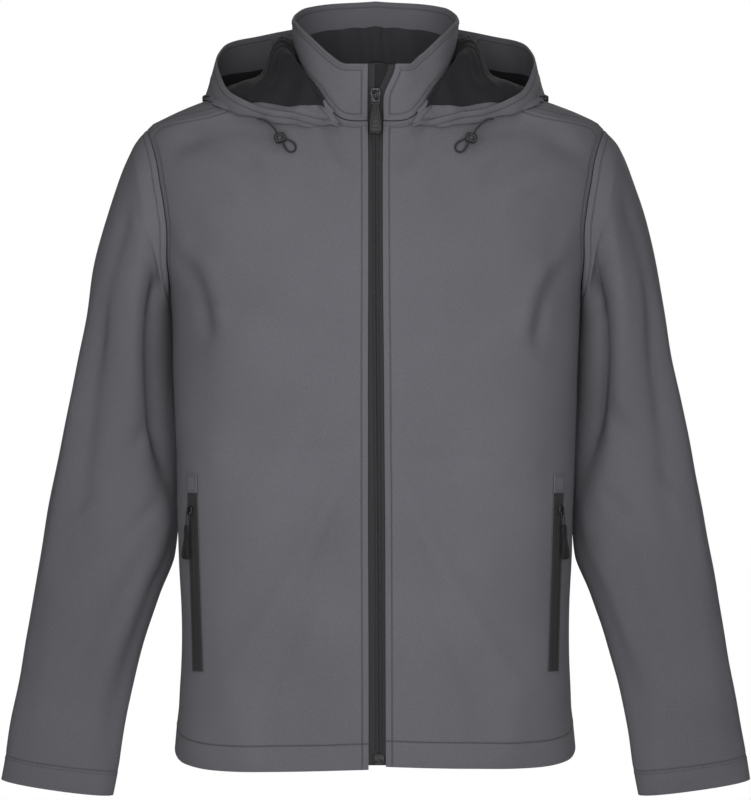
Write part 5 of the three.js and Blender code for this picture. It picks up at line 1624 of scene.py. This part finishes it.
def makePocket(side, sign):
    top, half = pocketSet["top"][1], pocketSet["half"]
    lift, thickness = pocketSet["lift"], pocketSet["thickness"]
    length = top - pocketSet["bottom"][1]
    share = (pocketSet["garageTop"] - top) / length  # how far the garage stands above the zip
    node = side.lower()

    def turned(rows):
        return rows if sign > 0 else mirrored(rows)[:, ::-1]

    rows = turned(pocketRows(1, 0, np.linspace(-half, half, 9), lift["tape"], 70))
    makeStrip("pocketTape" + side, "pocket_zip_" + node, rows, tapeCloth, thickness["tape"])

    rows = turned(pocketRows(-0.6 / length, -share, np.linspace(-half - 1, half + 1, 17), lift["garage"], 18))
    bm, verts = clothGrid(rows, clothMetres(rows))
    settle(bm, lambda p: np.zeros(len(p)), seams=False, sink=0, groove=0)
    inset, pitch = pocketSet["garageStitch"]
    for edge in ("start", "end", "top", "bottom"):
        sew("pocketStitching", insetLine(verts, edge, inset, first=2, last=-2), pitch)
    garage = addObject(bm, "pocketGarage" + side, [shellCloth], "pocket_garage_" + node)
    wall(garage, thickness["garage"], 0.3)

    outset, pitch = pocketSet["sideStitch"]
    facing = turned(pocketPlace(np.linspace(1.01, -share, 121)[:, None])[3])[:, 0]
    for x in (-half - outset, half + outset):
        rows = turned(pocketRows(1.01, -share, [x, x + 0.1], lift["stitch"], 120))[:, 0]
        sew("pocketStitching", [(Vector(a), Vector(b)) for a, b in zip(rows, facing)], pitch)

    low, high = 0.985, 8 / length
    rows = turned(pocketRows(low, high, [-1, 0, 1], lift["chain"], 90))
    out = turned(pocketPlace(np.linspace(low, high, 91)[:, None])[3])[:, 0]
    bars = pocketSet["bars"]
    places = barPlaces(rows[:, 1], rows[:, 2] - rows[:, 0], out, bars)
    manyParts("pocketChain" + side, places, oneBar(bars), toothPlastic, "pocket_chain_" + node)

    p, aside, up, out = pocketPlace((top - pocketSet["sliderZ"]) / length)
    base = p + out * lift["slider"]
    size = pocketSet["slider"]
    place = placeAt(base, aside, up, out)
    bodyName = "pocket_pull_" + node
    node = "pocket_slider_" + side.lower()
    setPiece("pocketSlider" + side, slider(size), place, gunmetal, node, sign=sign)

    lean = Matrix.Rotation(math.radians(pocketSet["lean"]), 4, "Z")
    pin = placeAt(base + out * (size["thickness"] + lift["pin"]), aside, up, out) @ lean
    loop = tube(through(pocketSet["loop"], 44, closed=True), pocketSet["loopWire"], closed=True)
    node = "pocket_pull_loop_" + side.lower()
    setPiece("pocketPullLoop" + side, loop, pin, gunmetal, node, bodyName, sign)
    edge = [tuple(q[:2]) for q in through(pocketSet["grip"], 20)]
    grip = slab(bothEdges(edge), thickness["grip"], 0.85, corner=1.1, dish=(0.75, 0.35))
    bars = ridges(pocketSet["ridges"], lambda y: 1.4 + (-y - 35) * 0.12, thickness["grip"] - 0.35)
    grip = moved(joined(grip, *bars), 0, 0, -thickness["grip"] / 2 + 0.2)
    node = "pocket_pull_grip_" + side.lower()
    setPiece("pocketPullGrip" + side, grip, pin, gripRubber, node, bodyName, sign)


makePocket("Left", 1)
makePocket("Right", -1)
print("pockets made")

# Drawcords: out of the hood's channel, through the lock and back into it as a loop
cordSet = {
    "path": [
        (119, -98.5, -41.5), (113, -103.5, -43), (106.5, -105.5, -47.5), (101, -106, -53.5),
        (97, -107, -62), (93.5, -108, -66.5), (91, -108.5, -71.5), (87.5, -109, -75.3),
        (83.2, -109.5, -75.8), (80.3, -109.5, -72.6), (81.2, -109, -68.2), (85.5, -108.5, -64.8),
        (91, -108, -62.6),
    ],
    "radius": 1.1,
    "length": 76,
}
lockSet = {
    "centre": (96.3, -107, -61.5),
    "wide": 11.5,
    "tall": 9.5,
    "deep": 8.5,
    "turn": 16,
    "button": {"radius": (2.6, 2.2), "height": 1.2, "rim": 0.4, "sink": 0.2},
}


def makeButton():
    size = lockSet["button"]
    foot, top = size["radius"]
    bm = bmesh.new()
    bmesh.ops.create_cone(bm, cap_ends=True, segments=24, radius1=foot, radius2=top, depth=size["height"])
    rims = [e for e in bm.edges if abs(e.verts[0].co.z - e.verts[1].co.z) < 1e-4 and e.verts[0].co.z > 0]
    soften(bm, rims, size["rim"], 2, clamp=False)
    return moved(bm, 0, 0, lockSet["deep"] - size["sink"])


def makeCordAndLock(side, sign):
    line = through(cordSet["path"], 72)
    wide, tall, deep = (lockSet[key] for key in ("wide", "tall", "deep"))
    edge = [(wide * x, tall * y) for x, y in ((0.38, 0.5), (0.5, 0.25), (0.5, -0.25), (0.38, -0.5))]
    case = slab(bothEdges(edge), deep, 1.6, corner=1.0, dish=(0.5, 0.35))
    lock = moved(joined(case, makeButton()), 0, 0, -deep / 2)
    turn = math.radians(lockSet["turn"])
    across, up = (math.cos(turn), 0, -math.sin(turn)), (math.sin(turn), 0, math.cos(turn))
    place = placeAt(lockSet["centre"], across, up, (0, -1, 0))
    node = "cord_lock_" + side.lower()
    lock = setPiece("cordLock" + side, lock, place, gripRubber, node, sign=sign)
    cord = tube(line, cordSet["radius"])
    node = "drawcord_" + side.lower()
    cord = setPiece("drawcord" + side, cord, Matrix.Identity(4), cordCloth, node, sign=sign)
    path = (line if sign > 0 else mirrored(line)) * mm
    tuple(path[0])


makeCordAndLock("Left", 1)
makeCordAndLock("Right", -1)

# Hanger loop: a narrow tape folded to a U at the top of the neck lining
hangerSet = {
    "outline": [
        (-3, 5), (-3, -3.5), (-1.6, -5), (1.6, -5), (3, -3.5), (3, 5),
        (1.5, 5), (1.5, -3), (0.8, -3.6), (-0.8, -3.6), (-1.5, -3), (-1.5, 5),
    ],
    "thickness": 1.4,
    "behindLining": 6.2,
    "drop": 4,
    "aside": 3.7,
}


def makeHanger():
    rise = float(1 - neckLiningSet["underTop"]["back"] / (collarHeight(2) - neckline(2)[2])) - 0.02
    top, low = collarPoint(2, rise, 0), collarPoint(2, rise - 0.2, 0)
    up = unit(top - low)
    out = np.cross([1, 0, 0], up)
    centre = top + out * hangerSet["behindLining"] - up * hangerSet["drop"]
    centre[0] = hangerSet["aside"]
    loop = slab(hangerSet["outline"], hangerSet["thickness"], 0.3)
    setPiece("hangerLoop", loop, placeAt(centre, (1, 0, 0), up, out), tapeCloth, "hanger_loop")


makeHanger()
print("cords and hanger made")

makeStitching()
print("stitching made")

# What each piece of cloth was cut to, in metres: width and length, flat area, how it is held and by what
clothCuts = {
    "frontLeft": ((0.280, 0.863), 0.177, "hung", ["backPanel"]),
    "frontRight": ((0.281, 0.866), 0.179, "hung", ["backPanel"]),
    "backPanel": ((0.660, 0.860), 0.415, "hung", []),
    "sleeveLeft": ((0.430, 0.711), 0.224, "hung", ["backPanel", "frontLeft"]),
    "sleeveRight": ((0.430, 0.711), 0.224, "hung", ["backPanel", "frontRight"]),
    "collarStand": ((0.627, 0.080), 0.0348, "hung", ["backPanel"]),
    "neckLining": ((0.408, 0.0456), 0.0118, "hung", ["collarStand"]),
    "hoodLeft": ((0.386, 0.446), 0.0590, "folded", ["backPanel", "collarStand"]),
    "hoodRight": ((0.386, 0.446), 0.0590, "folded", ["backPanel", "collarStand"]),
    "hoodCrown": ((0.396, 0.515), 0.0925, "folded", ["backPanel"]),
    "hoodLining": ((0.948, 0.465), 0.178, "folded", ["hoodCrown"]),
    "windFlap": ((0.048, 0.708), 0.0339, "hung", ["frontLeft"]),
    "mainTapeLeft": ((0.0168, 0.712), 0.0114, "stretched", ["frontLeft"]),
    "mainTapeRight": ((0.0183, 0.710), 0.0124, "stretched", ["frontRight"]),
    "pocketTapeLeft": ((0.0162, 0.1816), 0.00293, "stretched", ["frontLeft"]),
    "pocketTapeRight": ((0.0162, 0.1816), 0.00293, "stretched", ["frontRight"]),
    "pocketGarageLeft": ((0.0182, 0.0189), 0.00034, "laid", ["frontLeft"]),
    "pocketGarageRight": ((0.0182, 0.0189), 0.00034, "laid", ["frontRight"]),
}
for name, (flat, area, held, restsOn) in clothCuts.items():
    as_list(restsOn)


# Light and floor, in metres and watts
lightSet = {
    "around": 0.2,
    "lamps": {
        "key": {"place": (-0.4, -1.55, -0.18), "aim": (-0.05, 0, -0.34), "watts": 15.5, "size": 1.0},
        "fill": {"place": (0.4, -1.55, -0.26), "aim": (0.05, 0, -0.38), "watts": 13, "size": 1.0},
        "above": {"place": (0, -1.5, 1.9), "aim": (0, 0, 0), "watts": 11, "size": 1.4},
        "behind": {"place": (0.5, 2.8, 0.6), "aim": (0, 0, -0.3), "watts": 46, "size": 2.0},
    },
    "floor": {"half": 2.5, "height": -1.7, "shade": (0.9, 0.9, 0.9, 1), "roughness": 0.9},
}


def addLight(name, place, aim, watts, size):
    data = bpy.data.lights.new(name, "AREA")
    data.energy = watts
    data.size = size
    lamp = bpy.data.objects.new(name, data)
    lamp.visible_camera = False
    lamp.location = place
    lamp.rotation_euler = (Vector(aim) - Vector(place)).to_track_quat("-Z", "Y").to_euler()
    scene.collection.objects.link(lamp)


def setStage():
    world = bpy.data.worlds.new("softStudio")
    world.use_nodes = True
    scene.world = world
    tree = world.node_tree
    background = tree.nodes["Background"]
    # white to the eye, and a weak light on the cloth
    seen = Wire(tree, None).make("ShaderNodeLightPath")
    seen = seen * (1 - lightSet["around"]) + lightSet["around"]
    background.inputs["Color"].default_value = (1, 1, 1, 1)
    tree.links.new(seen.socket, background.inputs["Strength"])

    floorSet = lightSet["floor"]
    bm = bmesh.new()
    bmesh.ops.create_grid(bm, x_segments=2, y_segments=2, size=floorSet["half"])
    bmesh.ops.translate(bm, vec=(0, 0, floorSet["height"]), verts=bm.verts)
    mesh = bpy.data.meshes.new("floor")
    bm.to_mesh(mesh)
    bm.free()
    floor = bpy.data.objects.new("floor", mesh)
    fixed = {"Roughness": floorSet["roughness"], "Base Color": floorSet["shade"]}
    mesh.materials.append(newMaterial("paleFloor", fixed)[0])
    scene.collection.objects.link(floor)
    floor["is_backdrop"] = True
    for name, lamp in lightSet["lamps"].items():
        addLight(name, **lamp)
    scene.view_settings.view_transform = "Standard"
    print("stage set")


setStage()

boxes = {"cad": cadBox, "visual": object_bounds()}
{name: [list(map(float, corner)) for corner in box] for name, box in boxes.items()}
